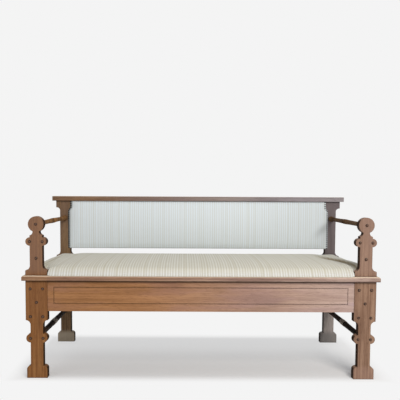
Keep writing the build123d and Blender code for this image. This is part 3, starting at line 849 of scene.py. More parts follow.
@dataclass(frozen=True)
class Joinery:
    """The oak and beech of the frame, each board with its own way of the grain."""

    # Painted shade on the legs' inner sides, and painted shade with stain on their outer ones
    inward_share: float = 0.88
    outward_share: float = 0.3
    moulding_wear_and_highlight_share: float = 0.6
    crest_share: float = 0.75

    def dress(self, nodes: Mapping[str, Object]) -> None:
        """Gives every wooden node its finish.

        Args:
            nodes: The frame's nodes by name.
        """
        for seed, (name, oak) in enumerate(self.finishes(), start=1):
            if name.startswith("stretcher"):
                low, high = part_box(name)
                middle = (low + high) / 2
                oak = replace(oak, axis=(middle.x, middle.z), turned_radius=(high.x - low.x) / 2)
            mesh = nodes[name].data
            mesh.materials.clear()
            mesh.materials.append(replace(oak, name=f"{oak.name}_{name}", seed=seed).build())
            log.info("%s is finished", name)

    def finishes(self) -> Iterable[tuple[str, Oak]]:
        """Yields each wooden node with its finish.

        Returns:
            The node's name and its oak, one pair at a time.
        """
        along, upright, across = Grain.ALONG, Grain.UPRIGHT, Grain.FRONT_TO_BACK
        left = (LEFT_LEG_OAK, LEFT_REAR_OAK, LEFT_MOULDING_OAK, LEFT_ROD_OAK)
        right = (RIGHT_LEG_OAK, RIGHT_REAR_OAK, RIGHT_MOULDING_OAK, RIGHT_ROD_OAK)
        for end, tones, front_hues, rear_hues in (
            ("left", left, LEFT_FRONT_HUES, LEFT_REAR_HUES),
            ("right", right, RIGHT_FRONT_HUES, RIGHT_REAR_HUES),
        ):
            leg, rear, moulding, rod = tones
            yield f"front_leg_{end}", replace(self.leg_oak(leg), overhang_share=0.45, **front_hues)
            yield f"rear_leg_{end}", replace(self.leg_oak(rear), **rear_hues)
            yield f"side_rail_{end}", self.oak(leg, leg, across)
            yield f"side_seat_board_{end}", self.moulding_oak(moulding, moulding, across)
            yield f"front_collar_{end}", self.moulding_oak(moulding, moulding, along)
            yield f"rear_collar_{end}", self.moulding_oak(rear, rear, along)
            yield f"arm_rod_{end}", self.rod_oak(rod)
            yield f"stretcher_{end}", self.rod_oak(STRETCHER_OAK)
            for name, grain in (
                ("glue_block_front", upright),
                ("glue_block_rear", upright),
                ("seat_bar", across),
                ("back_stile", upright),
                ("back_muntin", upright),
            ):
                yield f"{name}_{end}", self.beech(grain)
        yield "front_rail", self.rail_oak()
        yield "front_seat_board", self.moulding_oak(LEFT_MOULDING_OAK, RIGHT_MOULDING_OAK, along)
        yield "rear_rail", self.oak(LEFT_REAR_OAK, RIGHT_REAR_OAK, along)
        yield "rear_seat_board", self.moulding_oak(LEFT_REAR_OAK, RIGHT_REAR_OAK, along)
        yield "cap_board", self.moulding_oak(LEFT_CAP_OAK, RIGHT_CAP_OAK, along)
        for name in ("cap_dowels", "back_lower_rail", "back_upper_rail"):
            yield name, self.beech(along)

    def oak(self, left: Tone, right: Tone, grain: Grain) -> Oak:
        """Waxed oak of a plain board or a turned rod."""
        return Oak("waxed_oak", left, right, grain)

    def rail_oak(self) -> Oak:
        """Waxed oak of the front rail, with a painted shadow under the overhang of the moulding.

        Returns:
            The finish.
        """
        return replace(
            self.oak(LEFT_RAIL_OAK, RIGHT_RAIL_OAK, Grain.ALONG),
            # Dirt, and a painted shadow under the moulding
            dirt_and_shade_share=0.9,
            dirt_and_shade_reach=11 * MM,
            fade_middle=0.28,
            overhang_share=0.7,
            ring_share=0.1,
            streak_share=0.5,
            patch_length=230 * MM,
            patch_width=45 * MM,
            cloud_length=330 * MM,
        )

    def rod_oak(self, tone: Tone) -> Oak:
        """Waxed oak of a turned rod, in dark and pale bands, with painted highlights on its edges and rings.

        Args:
            tone: The oak's colours.

        Returns:
            The finish.
        """
        rod = self.oak(tone, tone, Grain.FRONT_TO_BACK)
        return replace(
            rod,
            wear_and_highlight_share=0.95,
            dirt_and_shade_share=0.5,
            patch_length=60 * MM,
            patch_width=200 * MM,
            streak_share=0.35,
            gloss=0.02,
        )

    def leg_oak(self, tone: Tone) -> Oak:
        """Waxed oak of a leg, sawn to its outline."""
        sides = {"inward_share": self.inward_share, "outward_share": self.outward_share, "gloss": 0.08}
        return Oak("waxed_oak", tone, tone, Grain.UPRIGHT, **sides)

    def moulding_oak(self, left: Tone, right: Tone, grain: Grain) -> Oak:
        """Waxed oak of a moulded edge, its edges worn pale, with a painted highlight on its rounding and
        painted shade below it.
        """
        shares = {"wear_and_highlight_share": self.moulding_wear_and_highlight_share, "crest_share": self.crest_share}
        return Oak("rubbed_oak", left, right, grain, dirt_and_shade_share=0.2, **shares)

    def beech(self, grain: Grain) -> Oak:
        """Plain beech inside the upholstery, with the same cut but no wax or wear."""
        return Oak("sawn_beech", BEECH, BEECH, grain, ring_pitch=4 * MM, wear_and_highlight_share=0.1)


# Pegs, nails and tacks


class Facing(Enum):
    """Which way a head looks out of the face that it was driven into."""

    FRONT = (0.0, -1.0, 0.0)
    BACK = (0.0, 1.0, 0.0)
    DOWN = (0.0, 0.0, -1.0)


@dataclass(frozen=True)
class TurnedHead:
    """The head of a peg or a nail: a lathe shape about its own origin, on the face it stands on."""

    name: str
    radius: float
    height: float
    outline_shares: tuple[tuple[float, float], ...]  # of the radius and the height, rim to crown
    sides: int = 20

    def build(self, facing: Facing) -> Object:
        """Makes the head, looking the way that is given.

        Args:
            facing: Which way it looks.

        Returns:
            The head.
        """
        mesh = bpy.data.meshes.new(self.name)
        shape = bmesh.new()
        turning = shape.loops.layers.uv.new(TURNING)
        rows = []
        for radius_share, height_share in self.outline_shares:
            if radius_share == 0:
                rows.append([shape.verts.new((0, -height_share * self.height, 0))] * self.sides)
                continue
            row = []
            for side in range(self.sides):
                angle = 2 * math.pi * side / self.sides
                out = radius_share * self.radius
                spot = (out * math.cos(angle), -height_share * self.height, out * math.sin(angle))
                row.append(shape.verts.new(spot))
            rows.append(row)
        for lower, upper, inner, outer in zip(rows, rows[1:], self.outline_shares[1:], self.outline_shares):
            for side in range(self.sides):
                after = (side + 1) % self.sides
                ring = [lower[side], lower[after], upper[after], upper[side]]
                shares = [outer[0], outer[0], inner[0], inner[0]]
                if upper[side] is upper[after]:
                    ring, shares = ring[:3], shares[:3]
                face = shape.faces.new(ring)
                face.smooth = True
                for loop, share in zip(face.loops, shares):
                    loop[turning].uv = (side / self.sides, share)
        shape.faces.new(list(reversed(rows[0])))
        bmesh.ops.recalc_face_normals(shape, faces=shape.faces)
        shape.to_mesh(mesh)
        shape.free()
        turn = Vector(Facing.FRONT.value).rotation_difference(Vector(facing.value))
        mesh.transform(turn.to_matrix().to_4x4())
        return new_piece(self.name, mesh)


@dataclass(frozen=True)
class HeadRow:
    """Heads set on a run of spots, each a little different in size, turn and depth."""

    head: TurnedHead
    size_spread: float = 0.06
    sink: float = 0.25 * MM

    def tree(self) -> GeometryNodeTree:
        """Builds the tree that sets a head on every point of a mesh.

        Returns:
            The tree.
        """
        tree = bpy.data.node_groups.new("heads_on_spots", "GeometryNodeTree")
        face = tree.interface
        face.new_socket("Geometry", in_out="OUTPUT", socket_type="NodeSocketGeometry")
        for name, kind in (
            ("Geometry", "NodeSocketGeometry"),
            ("Head", "NodeSocketObject"),
            ("Facing", "NodeSocketVector"),
            ("Size spread", "NodeSocketFloat"),
            ("Sink", "NodeSocketFloat"),
            ("Seed", "NodeSocketInt"),
            ("Finish", "NodeSocketMaterial"),
        ):
            face.new_socket(name, in_out="INPUT", socket_type=kind)
        given = put(tree, "NodeGroupInput").outputs
        head = put(tree, "GeometryNodeObjectInfo", {"Object": given["Head"]}).outputs["Geometry"]
        ends = (1.0, given["Size spread"])
        low = put(tree, "ShaderNodeMath", ends, operation="SUBTRACT").outputs[0]
        high = put(tree, "ShaderNodeMath", ends, operation="ADD").outputs[0]
        drawn = []
        for least, most in ((low, high), (0.0, 2 * math.pi), (0.0, given["Sink"])):
            span = {2: least, 3: most, "Seed": given["Seed"]}
            drawn.append(put(tree, "FunctionNodeRandomValue", span, data_type="FLOAT").outputs[1])
        size, angle, depth = drawn
        facing = given["Facing"]
        spin = put(tree, "ShaderNodeVectorMath", {0: facing, "Scale": angle}, operation="SCALE").outputs[0]
        back = put(tree, "ShaderNodeMath", (depth, -1.0), operation="MULTIPLY").outputs[0]
        offset = put(tree, "ShaderNodeVectorMath", {0: facing, "Scale": back}, operation="SCALE").outputs[0]
        moved = {"Geometry": given["Geometry"], "Offset": offset}
        sunk = put(tree, "GeometryNodeSetPosition", moved).outputs[0]
        set_heads = {"Points": sunk, "Instance": head, "Rotation": spin, "Scale": size}
        heads = put(tree, "GeometryNodeInstanceOnPoints", set_heads).outputs[0]
        real = put(tree, "GeometryNodeRealizeInstances", {0: heads}).outputs[0]
        finished = {"Geometry": real, "Material": given["Finish"]}
        done = put(tree, "GeometryNodeSetMaterial", finished).outputs[0]
        put(tree, "NodeGroupOutput", {0: done})
        return tree

    def set_on(
        self, name: str, spots: Sequence[Vector], facing: Facing, finish: Material, seed: int
    ) -> Object:
        """Sets a head on each spot.

        Args:
            name: The name of the finished piece.
            spots: Where the heads stand, each on the face that it was driven into.
            facing: Which way the heads look.
            finish: The heads' material.
            seed: Seed of their small differences.

        Returns:
            The finished piece, a plain mesh.
        """
        points = bpy.data.meshes.new(name)
        points.from_pydata([tuple(spot) for spot in spots], [], [])
        carrier = new_piece(f"{name}_spots", points)
        pattern = self.head.build(facing)
        tree = self.tree()
        modifier = carrier.modifiers.new("heads", "NODES")
        modifier.node_group = tree
        values = {
            "Head": pattern,
            "Facing": facing.value,
            "Size spread": self.size_spread,
            "Sink": self.sink,
            "Seed": seed,
            "Finish": finish,
        }
        for item in tree.interface.items_tree:
            if item.in_out == "INPUT" and item.name in values:
                modifier[item.identifier] = values[item.name]
        piece = baked(carrier, name)
        bpy.data.objects.remove(pattern)
        log.info("%s has %d heads", name, len(spots))
        return piece


RIM_SHARE = 0.98  # of a pin's half width, beyond which a vertex lies on its head's rim


def head_spots(node: Object, facing: Facing) -> list[Vector]:
    """Finds where the pins of a node stand on the face that they were driven into.

    Args:
        node: A node of the frame that holds only pins.
        facing: Whether their heads look to the front or to the back.

    Returns:
        For each pin, the middle of its head's underside, from the floor upwards.
    """
    shape = bmesh.new()
    shape.from_mesh(node.data)
    bmesh.ops.remove_doubles(shape, verts=shape.verts, dist=TINY)
    waiting = set(shape.verts)
    spots = []
    while waiting:
        reached = [waiting.pop()]
        pin = []
        while reached:
            vert = reached.pop()
            pin.append(vert.co.copy())
            for edge in vert.link_edges:
                other = edge.other_vert(vert)
                if other in waiting:
                    waiting.remove(other)
                    reached.append(other)
        middle = (Vector(map(min, *pin)) + Vector(map(max, *pin))) / 2
        width = max(abs(point.x - middle.x) for point in pin)
        rim = [point.y for point in pin if abs(point.x - middle.x) > RIM_SHARE * width]
        face = max(rim, key=lambda y: -facing.value[1] * y)
        spots.append(Vector((middle.x, face, middle.z)))
    shape.free()
    return sorted(spots, key=lambda spot: (spot.z, spot.x))


@dataclass(frozen=True)
class Fastenings:
    """Oak pegs in the legs and bronze nails along the back's edges."""

    peg_shares: tuple[tuple[float, float], ...] = (
        (1.0, 0.0),
        (1.0, 0.2),
        (0.95, 0.42),
        (0.8, 0.68),
        (0.55, 0.88),
        (0.28, 0.97),
        (0.0, 1.0),
    )
    nail_shares: tuple[tuple[float, float], ...] = (
        (1.0, 0.0),
        (0.97, 0.24),
        (0.86, 0.55),
        (0.66, 0.8),
        (0.36, 0.96),
        (0.0, 1.0),
    )

    peg_radius: float = 6 * MM
    peg_height: float = 3.6 * MM
    nail_radius: float = 3.5 * MM
    nail_height: float = 2.5 * MM
    tack_radius: float = 3 * MM
    tack_height: float = 1 * MM
    tack_pitch: float = 26 * MM
    tack_inset: float = 7 * MM
    shoulder_drop: float = 30 * MM  # of the panel's outside back, below which it widens
    bend_drop: float = 55 * MM  # where it has its full width

    def build(self, nodes: Mapping[str, Object]) -> None:
        """Sets every peg and nail that the frame has, and the tacks of the back and the lining.

        Args:
            nodes: The frame's nodes by name.
        """
        # Oak pegs have darkened with wax; their rims get painted shade, their crowns a painted highlight,
        # and they glint on their crowns
        dark_oak = TurnedHeadFinish(
            "waxed_oak_pegs", "#6e4a35", "#120905", 0.0, 0.28, rim_start=0.1, gloss=0.35
        )
        pegs_finish = dark_oak.build()
        # Oxidised bronze is nearly black, with a little of the metal's glint on the crown
        nails_finish = TurnedHeadFinish("oxidised_bronze", "#1d1612", "#080605", 0.3, 0.4).build()
        # Blued steel tacks are dull and black
        tacks_finish = TurnedHeadFinish("blued_steel_tacks", "#2a2a2d", "#101012", 0.8, 0.5).build()
        pegs = HeadRow(TurnedHead("peg_head", self.peg_radius, self.peg_height, self.peg_shares))
        nail = TurnedHead("nail_head", self.nail_radius, self.nail_height, self.nail_shares, sides=16)
        nails = HeadRow(nail, size_spread=0.04)
        tack = TurnedHead("tack_head", self.tack_radius, self.tack_height, self.nail_shares, sides=12)
        for seed, end in enumerate(("left", "right")):
            for row, node, facing, finish, slot in (
                (pegs, f"front_leg_pegs_{end}", Facing.FRONT, pegs_finish, "oak_pegs"),
                (pegs, f"rear_leg_pegs_{end}", Facing.BACK, pegs_finish, "oak_pegs"),
                (nails, f"back_nails_{end}", Facing.FRONT, nails_finish, "nail_bronze"),
            ):
                piece = row.set_on(f"{node}_heads", head_spots(nodes[node], facing), facing, finish, seed)
                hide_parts(node)
                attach(piece, "root")
        self.tack_back(nodes["outside_back"], HeadRow(tack), tacks_finish)
        self.tack_lining(HeadRow(tack), tacks_finish)

    def tack_back(self, node: Object, row: HeadRow, finish: Material) -> None:
        """Tacks the outside back's cloth round its edge.

        Args:
            node: The frame's plain outside back.
            row: The tacks.
            finish: Their material.
        """
        low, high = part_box("outside_back")
        side = min(high.x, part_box("back_stile_right")[1].x)
        head = max(v.co.x for v in node.data.vertices if v.co.z > high.z - MM)
        shoulder, bend = high.z - self.shoulder_drop, high.z - self.bend_drop
        edge = [(head, high.z), (head, shoulder), (side, bend), (side, low.z)]
        loop = [*edge, *((-x, z) for x, z in reversed(edge))]
        spots = [Vector((x, high.y, z)) for x, z in self.inset_line(loop)]
        self.finish_tacks(row.set_on("outside_back_tacks", spots, Facing.BACK, finish, seed=5))

    def tack_lining(self, row: HeadRow, finish: Material) -> None:
        """Tacks the lining under the seat round its edge.

        Args:
            row: The tacks.
            finish: Their material.
        """
        low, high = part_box("dust_cover")
        loop = [(high.x, high.y), (high.x, low.y), (low.x, low.y), (low.x, high.y)]
        spots = [Vector((x, y, low.z)) for x, y in self.inset_line(loop)]
        self.finish_tacks(row.set_on("lining_tacks", spots, Facing.DOWN, finish, seed=6))

    def finish_tacks(self, piece: Object) -> None:
        """Lets a row of tacks ride on the settle."""
        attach(piece, "root")

    def inset_line(self, outline: Sequence[tuple[float, float]]) -> list[tuple[float, float]]:
        """Spaces spots evenly round a closed outline, a little inside it.

        Args:
            outline: The outline's corners.

        Returns:
            The spots.
        """
        middle = Vector((sum(x for x, _ in outline), sum(y for _, y in outline))) / len(outline)
        inner = []
        for corner in outline:
            toward = middle - Vector(corner)
            inner.append(Vector(corner) + Vector((math.copysign(self.tack_inset, way) for way in toward)))
        spots = []
        for start, end in zip(inner, [*inner[1:], inner[0]]):
            count = max(1, round((end - start).length / self.tack_pitch))
            spots.extend(tuple(start.lerp(end, i / count)) for i in range(count))
        return spots


# Upholstery


def swell(piece: Object, held: Mapping[int, float], pressure: float, frames: int, most: float) -> None:
    """Blows a closed cover up a little with a cloth simulation, and keeps the result in its mesh.

    Args:
        piece: The closed cover.
        held: How firmly each held vertex is pinned, from 0 to 1.
        pressure: The air's push.
        frames: How many frames the simulation runs.
        most: How far a point may move, in metres.
    """
    scene = bpy.context.scene
    group = piece.vertex_groups.new(name="held")
    for index, weight in held.items():
        group.add([index], weight, "REPLACE")
    cloth = piece.modifiers.new("cloth", "CLOTH")
    cloth.settings.vertex_group_mass = group.name
    cloth.settings.quality = 6
    cloth.settings.mass = 0.3
    cloth.settings.tension_stiffness = 20
    cloth.settings.compression_stiffness = 20
    cloth.settings.shear_stiffness = 8
    cloth.settings.bending_stiffness = 1.5
    cloth.settings.use_pressure = True
    cloth.settings.uniform_pressure_force = pressure
    cloth.settings.effector_weights.gravity = 0
    cloth.point_cache.frame_start = 1
    cloth.point_cache.frame_end = frames
    for frame in range(1, frames + 1):
        scene.frame_set(frame)
    graph = bpy.context.evaluated_depsgraph_get()
    moved = piece.evaluated_get(graph).to_mesh()
    count = len(piece.data.vertices)
    before, after = (np.zeros(count * 3) for _ in range(2))
    piece.data.vertices.foreach_get("co", before)
    moved.vertices.foreach_get("co", after)
    step = (after - before).reshape(-1, 3)
    length = np.linalg.norm(step, axis=1, keepdims=True)
    step *= np.minimum(1.0, most / np.maximum(length, 1e-9))
    piece.modifiers.remove(cloth)
    piece.vertex_groups.remove(group)
    piece.data.vertices.foreach_set("co", (before.reshape(-1, 3) + step).ravel())
    piece.data.update()
    scene.frame_set(1)
    log.info("%s swelled by up to %.1f mm", piece.name, min(length.max(), most) / MM)


def stops_with_steps(stops: Sequence[float], step: float, near: Sequence[float]) -> list[float]:
    """Fills the spans between stops with even steps, and adds lines close to each stop.

    Args:
        stops: Places that must be on the list, in order.
        step: The widest even step.
        near: How far from each stop the extra lines lie.

    Returns:
        All the places, in order.
    """
    places = set(stops)
    for low, high in zip(stops, stops[1:]):
        inner_low, inner_high = low + max(near), high - max(near)
        if inner_high <= inner_low:
            places.add((low + high) / 2)
            continue
        places.update(low + gap for gap in near)
        places.update(high - gap for gap in near)
        count = max(1, math.ceil((inner_high - inner_low) / step))
        places.update(inner_low + (inner_high - inner_low) * i / count for i in range(count + 1))
    return sorted(places)


@dataclass(frozen=True)
class SeatUpholstery:
    """The stuffed seat: a crowned pad that fits round the four posts, and its dust cover below."""

    step: float = 7.5 * MM
    post_gap: float = 0.6 * MM
    edge_round: float = 10 * MM
    front_round: float = 19 * MM
    line_shares: tuple[float, ...] = (0.05, 0.18, 0.38, 0.62, 1.0)  # of the front's rounding
    front_height: float = 33 * MM
    side_rows: int = 5
    side_bulge: float = 2.5 * MM
    held_height: float = 0.5 * MM  # above the boards, up to which the swelling leaves the cloth
    lip_reach: float = 0.5 * MM  # beyond the moulding, before the smoothing takes it back
    lip_drop: float = 2.2 * MM
    lip_fade: float = 14 * MM  # beside each post, over which the lip runs out
    lip_shoulder: float = 4 * MM  # behind the moulding's front
    lip_slack: float = 0.1 * MM  # within which a vertex counts as lying on the cover's front
    lip_depth: float = 8 * MM  # from front to back, of the part that may hang below the boards
    probe_shares: tuple[float, float] = (0.985, 0.97)  # keep the probes inside the plain cover
    probe_height: float = 500 * MM
    missed_height: float = 30 * MM  # of the pad where a probe misses the plain cover
    crown_depth: float = 35 * MM  # below the crown's top, as far as the valleys may reach
    crown_fade: float = 10 * MM
    crease_depth: float = 14 * MM
    crease_half_width: float = 9 * MM
    crease_fade_rate: float = 3.5
    left_crease_share: float = 0.45  # the left end has settled less than the right one
    roll_height: float = 7 * MM
    roll_half_width: float = 30 * MM
    roll_steepness: float = 1.6
    shade_share: float = 0.9
    shade_offset: float = 10 * MM
    shade_half_width: float = 6.5 * MM
    lining_sag: float = 1.5 * MM
    pressure: float = 3.0
    frames: int = 18
    most: float = 3.5 * MM

    def build(
        self,
        nodes: Mapping[str, Object],
        cloth: Material,
        lining: Material,
    ) -> None:
        """Builds the seat's cover and its dust cover.

        Args:
            nodes: The frame's nodes by name.
            cloth: The striped cloth.
            lining: The lining under the seat.
        """
        low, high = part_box("seat_cover")
        post_low, post_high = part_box("front_leg_right")
        rear_low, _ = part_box("rear_leg_right")
        near = [self.front_round * share for share in self.line_shares]
        notch_x = post_low.x - self.post_gap
        notch_y = (post_high.y + self.post_gap, rear_low.y - self.post_gap)
        front, rear = low.y + self.side_bulge, high.y - self.side_bulge
        plan_x = stops_with_steps([-high.x, -notch_x, notch_x, high.x], self.step, near)
        plan_y = stops_with_steps([front, *notch_y, rear], self.step, near)
        mesh = self.cover_mesh(nodes["seat_cover"], plan_x, plan_y, notch_x, notch_y, low.z)
        self.front_lip(mesh, notch_x, front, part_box("front_seat_board")[0].y, low.z)
        cover = new_piece("seat_cushion", mesh, cloth)
        held = {v.index: 1.0 for v in mesh.vertices if v.co.z < low.z + self.held_height}
        swell(cover, held, self.pressure, self.frames, self.most)
        self.shape_top(cover)
        self.clear_posts(cover, notch_x, notch_y, low.z)
        cover.modifiers.new("smooth", "SUBSURF").render_levels = 1
        cover.modifiers["smooth"].levels = 1
        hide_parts("seat_cover")
        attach(cover, "root")
        self.dust_cover(lining)

    def front_lip(self, mesh: Mesh, notch_x: float, front: float, moulding: float, base: float) -> None:
        """Lets the cloth between the front posts hang a little over the moulding's rounding.

        Args:
            mesh: The cover's mesh.
            notch_x: How far from the middle the front posts stand.
            front: Depth of the cover's front side.
            moulding: Depth of the moulding's front.
            base: Height of the boards that the seat stands on.
        """
        row_height = (self.front_height - self.front_round) / self.side_rows
        for vert in mesh.vertices:
            share = min(1.0, (notch_x - abs(vert.co.x)) / self.lip_fade)
            if share <= 0 or vert.co.y > front + self.lip_slack:
                continue
            row = round((vert.co.z - base) / row_height)
            if row == 1:
                vert.co.y += share * (moulding - self.lip_reach - vert.co.y)
                vert.co.z += share * (base - self.lip_drop - vert.co.z)
            elif row == 2:
                vert.co.y += share * (moulding + self.lip_shoulder - vert.co.y)

    def cover_mesh(
        self,
        node: Object,
        plan_x: Sequence[float],
        plan_y: Sequence[float],
        notch_x: float,
        notch_y: tuple[float, float],
        base: float,
    ) -> Mesh:
        """Builds the closed cover over a plan with a notch at each post.

        Args:
            node: The frame's plain cover, which gives the height at each spot.
            plan_x: Places of the mesh lines along the settle.
            plan_y: Places of the mesh lines from front to back.
            notch_x: How far along the settle the notches start, from its middle.
            notch_y: Where the front notches end and the rear ones start.
            base: Height of the boards that the seat stands on.

        Returns:
            The cover's mesh, with its threads' UV map.
        """
        shape = bmesh.new()
        weave = shape.loops.layers.uv.new(WEAVE)
        verts = {}

        def inside(x: float, y: float) -> bool:
            """Tells whether a spot of the plan is covered."""
            return abs(x) <= notch_x + TINY or notch_y[0] - TINY <= y <= notch_y[1] + TINY

        def height(x: float, y: float) -> float:
            """Gives the pad's height at a spot, with its edges rounded.

            Args:
                x: The spot's place along the settle.
                y: Its place from front to back.

            Returns:
                The height, in metres.
            """
            in_x = (plan_x[-1] if notch_y[0] <= y <= notch_y[1] else notch_x) - abs(x)
            in_y = plan_y[-1] - y
            if abs(x) > notch_x:
                in_y = min(y - notch_y[0], notch_y[1] - y)
            drop = self.rounding(min(in_x, in_y), self.edge_round)
            if abs(x) <= notch_x:
                drop = max(drop, self.rounding(y - plan_y[0], self.front_round))
            probe = Vector((x * self.probe_shares[0], y * self.probe_shares[1], base + self.probe_height))
            hit, spot, _, _ = node.ray_cast(probe, Vector((0, 0, -1)))
            return (spot.z if hit else base + self.missed_height) - drop

        for i, x in enumerate(plan_x):
            for j, y in enumerate(plan_y):
                if inside(x, y):
                    verts[i, j] = shape.verts.new((x, y, height(x, y)))
        for i in range(len(plan_x) - 1):
            for j in range(len(plan_y) - 1):
                corners = [(i, j), (i + 1, j), (i + 1, j + 1), (i, j + 1)]
                middle_x = (plan_x[i] + plan_x[i + 1]) / 2
                middle_y = (plan_y[j] + plan_y[j + 1]) / 2
                if all(c in verts for c in corners) and inside(middle_x, middle_y):
                    face = shape.faces.new([verts[c] for c in corners])
                    for loop in face.loops:
                        loop[weave].uv = loop.vert.co.xy
        self.add_sides(shape, weave, base)
        bmesh.ops.recalc_face_normals(shape, faces=shape.faces)
        for face in shape.faces:
            face.smooth = True
        mesh = bpy.data.meshes.new("seat_cushion")
        shape.to_mesh(mesh)
        shape.free()
        return mesh

    def rounding(self, inward: float, radius: float) -> float:
        """Tells how far a rounded edge drops at a distance inward from its side."""
        left = radius - min(max(inward, 0.0), radius)
        return radius - math.sqrt(radius**2 - left**2)

    def add_sides(self, shape: bmesh.types.BMesh, weave: bmesh.types.BMLayerItem, base: float) -> None:
        """Adds the upright sides below the rim of a cover, and closes it underneath.

        Args:
            shape: The cover, so far only its top.
            weave: The layer of its threads' UV map.
            base: Height of the cover's underside.
        """
        rim = [edge for edge in shape.edges if edge.is_boundary]
        columns = {}
        for vert in {v for edge in rim for v in edge.verts}:
            drops = [(vert.co.z - base) * row / self.side_rows for row in range(1, self.side_rows + 1)]
            below = [shape.verts.new((vert.co.x, vert.co.y, vert.co.z - drop)) for drop in drops]
            columns[vert] = [vert, *below]
        for edge in rim:
            first, second = edge.verts
            along_x = abs(first.co.y - second.co.y) < abs(first.co.x - second.co.x)
            for row in range(self.side_rows):
                one, two = columns[first], columns[second]
                face = shape.faces.new([one[row], two[row], two[row + 1], one[row + 1]])
                for loop in face.loops:
                    drop = (first if loop.vert in columns[first] else second).co.z - loop.vert.co.z
                    x, y, _ = loop.vert.co
                    if along_x:
                        loop[weave].uv = (x, y + math.copysign(drop, y))
                    else:
                        loop[weave].uv = (x + math.copysign(drop, x), y)
        for column in columns.values():
            top = column[0]
            out = self.bulge_way(top)
            for row, vert in enumerate(column[1:-1], start=1):
                swell_share = math.sin(math.pi * row / self.side_rows)
                vert.co.x += out.x * self.side_bulge * swell_share
                vert.co.y += out.y * self.side_bulge * swell_share
        shape.edges.ensure_lookup_table()
        hem = [edge for edge in shape.edges if edge.is_boundary]
        bmesh.ops.triangle_fill(shape, use_beauty=True, edges=hem)

    def bulge_way(self, vert: bmesh.types.BMVert) -> Vector:
        """Gives the level direction away from the pad at a vertex of its rim.

        Args:
            vert: The vertex.

        Returns:
            The direction, one metre long, or nothing where it has none.
        """
        away = Vector((0, 0, 0))
        for face in vert.link_faces:
            away -= face.calc_center_median() - vert.co
        away.z = 0
        return away.normalized() if away.length > 0 else away

    def creases(self) -> tuple[tuple[tuple[float, float], ...], ...]:
        """Lines of the soft valleys beside the end rolls, from front to back, in metres.

        They start at the inner corners of the front posts and run inwards, because the
        stuffing has settled away from the ends.

        Returns:
            The points of the line at the right end, and of the one at the left end.
        """
        right = (
            (0.669, -0.285),
            (0.672, -0.224),
            (0.671, -0.174),
            (0.660, -0.124),
            (0.644, -0.071),
            (0.612, -0.010),
            (0.592, 0.073),
            (0.574, 0.150),
        )
        left = ((-0.668, -0.288), (-0.676, -0.150), (-0.680, 0.0), (-0.678, 0.150))
        return right, left

    def shape_top(self, cover: Object) -> None:
        """Presses the valleys into the top of the seat and raises a roll outside each.

        Args:
            cover: The seat's cover.
        """
        lowest = max(v.co.z for v in cover.data.vertices) - self.crown_depth
        painted_shades = cover.data.attributes.new(PAINTED_SHADE, "FLOAT", "POINT").data
        for line in self.creases():
            line_share = 1.0 if line[0][0] > 0 else self.left_crease_share
            for vert in cover.data.vertices:
                if vert.co.z < lowest:
                    continue
                gap, along, outside = distance_to_line(vert.co.x, vert.co.y, line)
                fade = min(1.0, self.crease_fade_rate * (1.0 - along)) * line_share
                valley = math.exp(-((gap / self.crease_half_width) ** 2))
                roll = 0.0
                if outside:
                    from_roll = (gap - self.roll_half_width) / self.roll_half_width
                    roll = math.exp(-(from_roll**2) * self.roll_steepness)
                lift = (self.roll_height * roll - self.crease_depth * valley) * fade
                edge = min(1.0, max(0.0, (vert.co.z - lowest) / self.crown_fade))
                vert.co.z += lift * edge
                # From the front only the far wall of a valley is seen, so its shade lies there
                beyond = gap - self.shade_offset if outside else gap + self.shade_offset
                depth = self.shade_share * math.exp(-((beyond / self.shade_half_width) ** 2))
                painted_shades[vert.index].value = max(painted_shades[vert.index].value, depth * fade * edge)
        cover.data.update()

    def clear_posts(
        self, cover: Object, notch_x: float, notch_y: tuple[float, float], base: float
    ) -> None:
        """Keeps the swollen cover out of the posts and, behind its front lip, above the boards.

        Args:
            cover: The seat's cover.
            notch_x: How far along the settle the notches start, from its middle.
            notch_y: Where the front notches end and the rear ones start.
            base: Height of the boards that the seat stands on.
        """
        front = min(v.co.y for v in cover.data.vertices) + self.lip_depth
        for vert in cover.data.vertices:
            if vert.co.y > front:
                vert.co.z = max(vert.co.z, base)
            x, y = abs(vert.co.x), vert.co.y
            over_x = x - notch_x
            over_y = notch_y[0] - y if y < 0 else y - notch_y[1]
            if over_x > 0 and over_y > 0:
                if over_x < over_y:
                    vert.co.x = math.copysign(notch_x, vert.co.x)
                else:
                    vert.co.y = notch_y[0] if y < 0 else notch_y[1]
        cover.data.update()

    def dust_cover(self, lining: Material) -> None:
        """Stretches the black lining under the seat, between the side rails.

        Args:
            lining: Its material.
        """
        low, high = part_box("dust_cover")
        sheet = stretched_sheet("dust_cover_lining", low, high, lining, self.lining_sag)
        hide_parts("dust_cover")
        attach(sheet, "root")


def distance_to_line(x: float, y: float, line: Sequence[tuple[float, float]]) -> tuple[float, float, bool]:
    """Measures how far a spot of the plan lies from a line.

    Args:
        x: The spot's place along the settle.
        y: Its place from front to back.
        line: Points of the line.

    Returns:
        The distance, how far along the line the nearest point lies, from 0 to 1, and whether
        the spot lies on the side away from the settle's middle.
    """
    best = (math.inf, 0.0, 0.0)
    spot = Vector((x, y))
    for index, (start, end) in enumerate(zip(line, line[1:])):
        a, b = Vector(start), Vector(end)
        share = min(1.0, max(0.0, (spot - a).dot(b - a) / (b - a).length_squared))
        nearest = a + (b - a) * share
        gap = (spot - nearest).length
        if gap < best[0]:
            best = (gap, (index + share) / (len(line) - 1), nearest.x)
    return best[0], best[1], abs(x) > abs(best[2]) and x * best[2] > 0


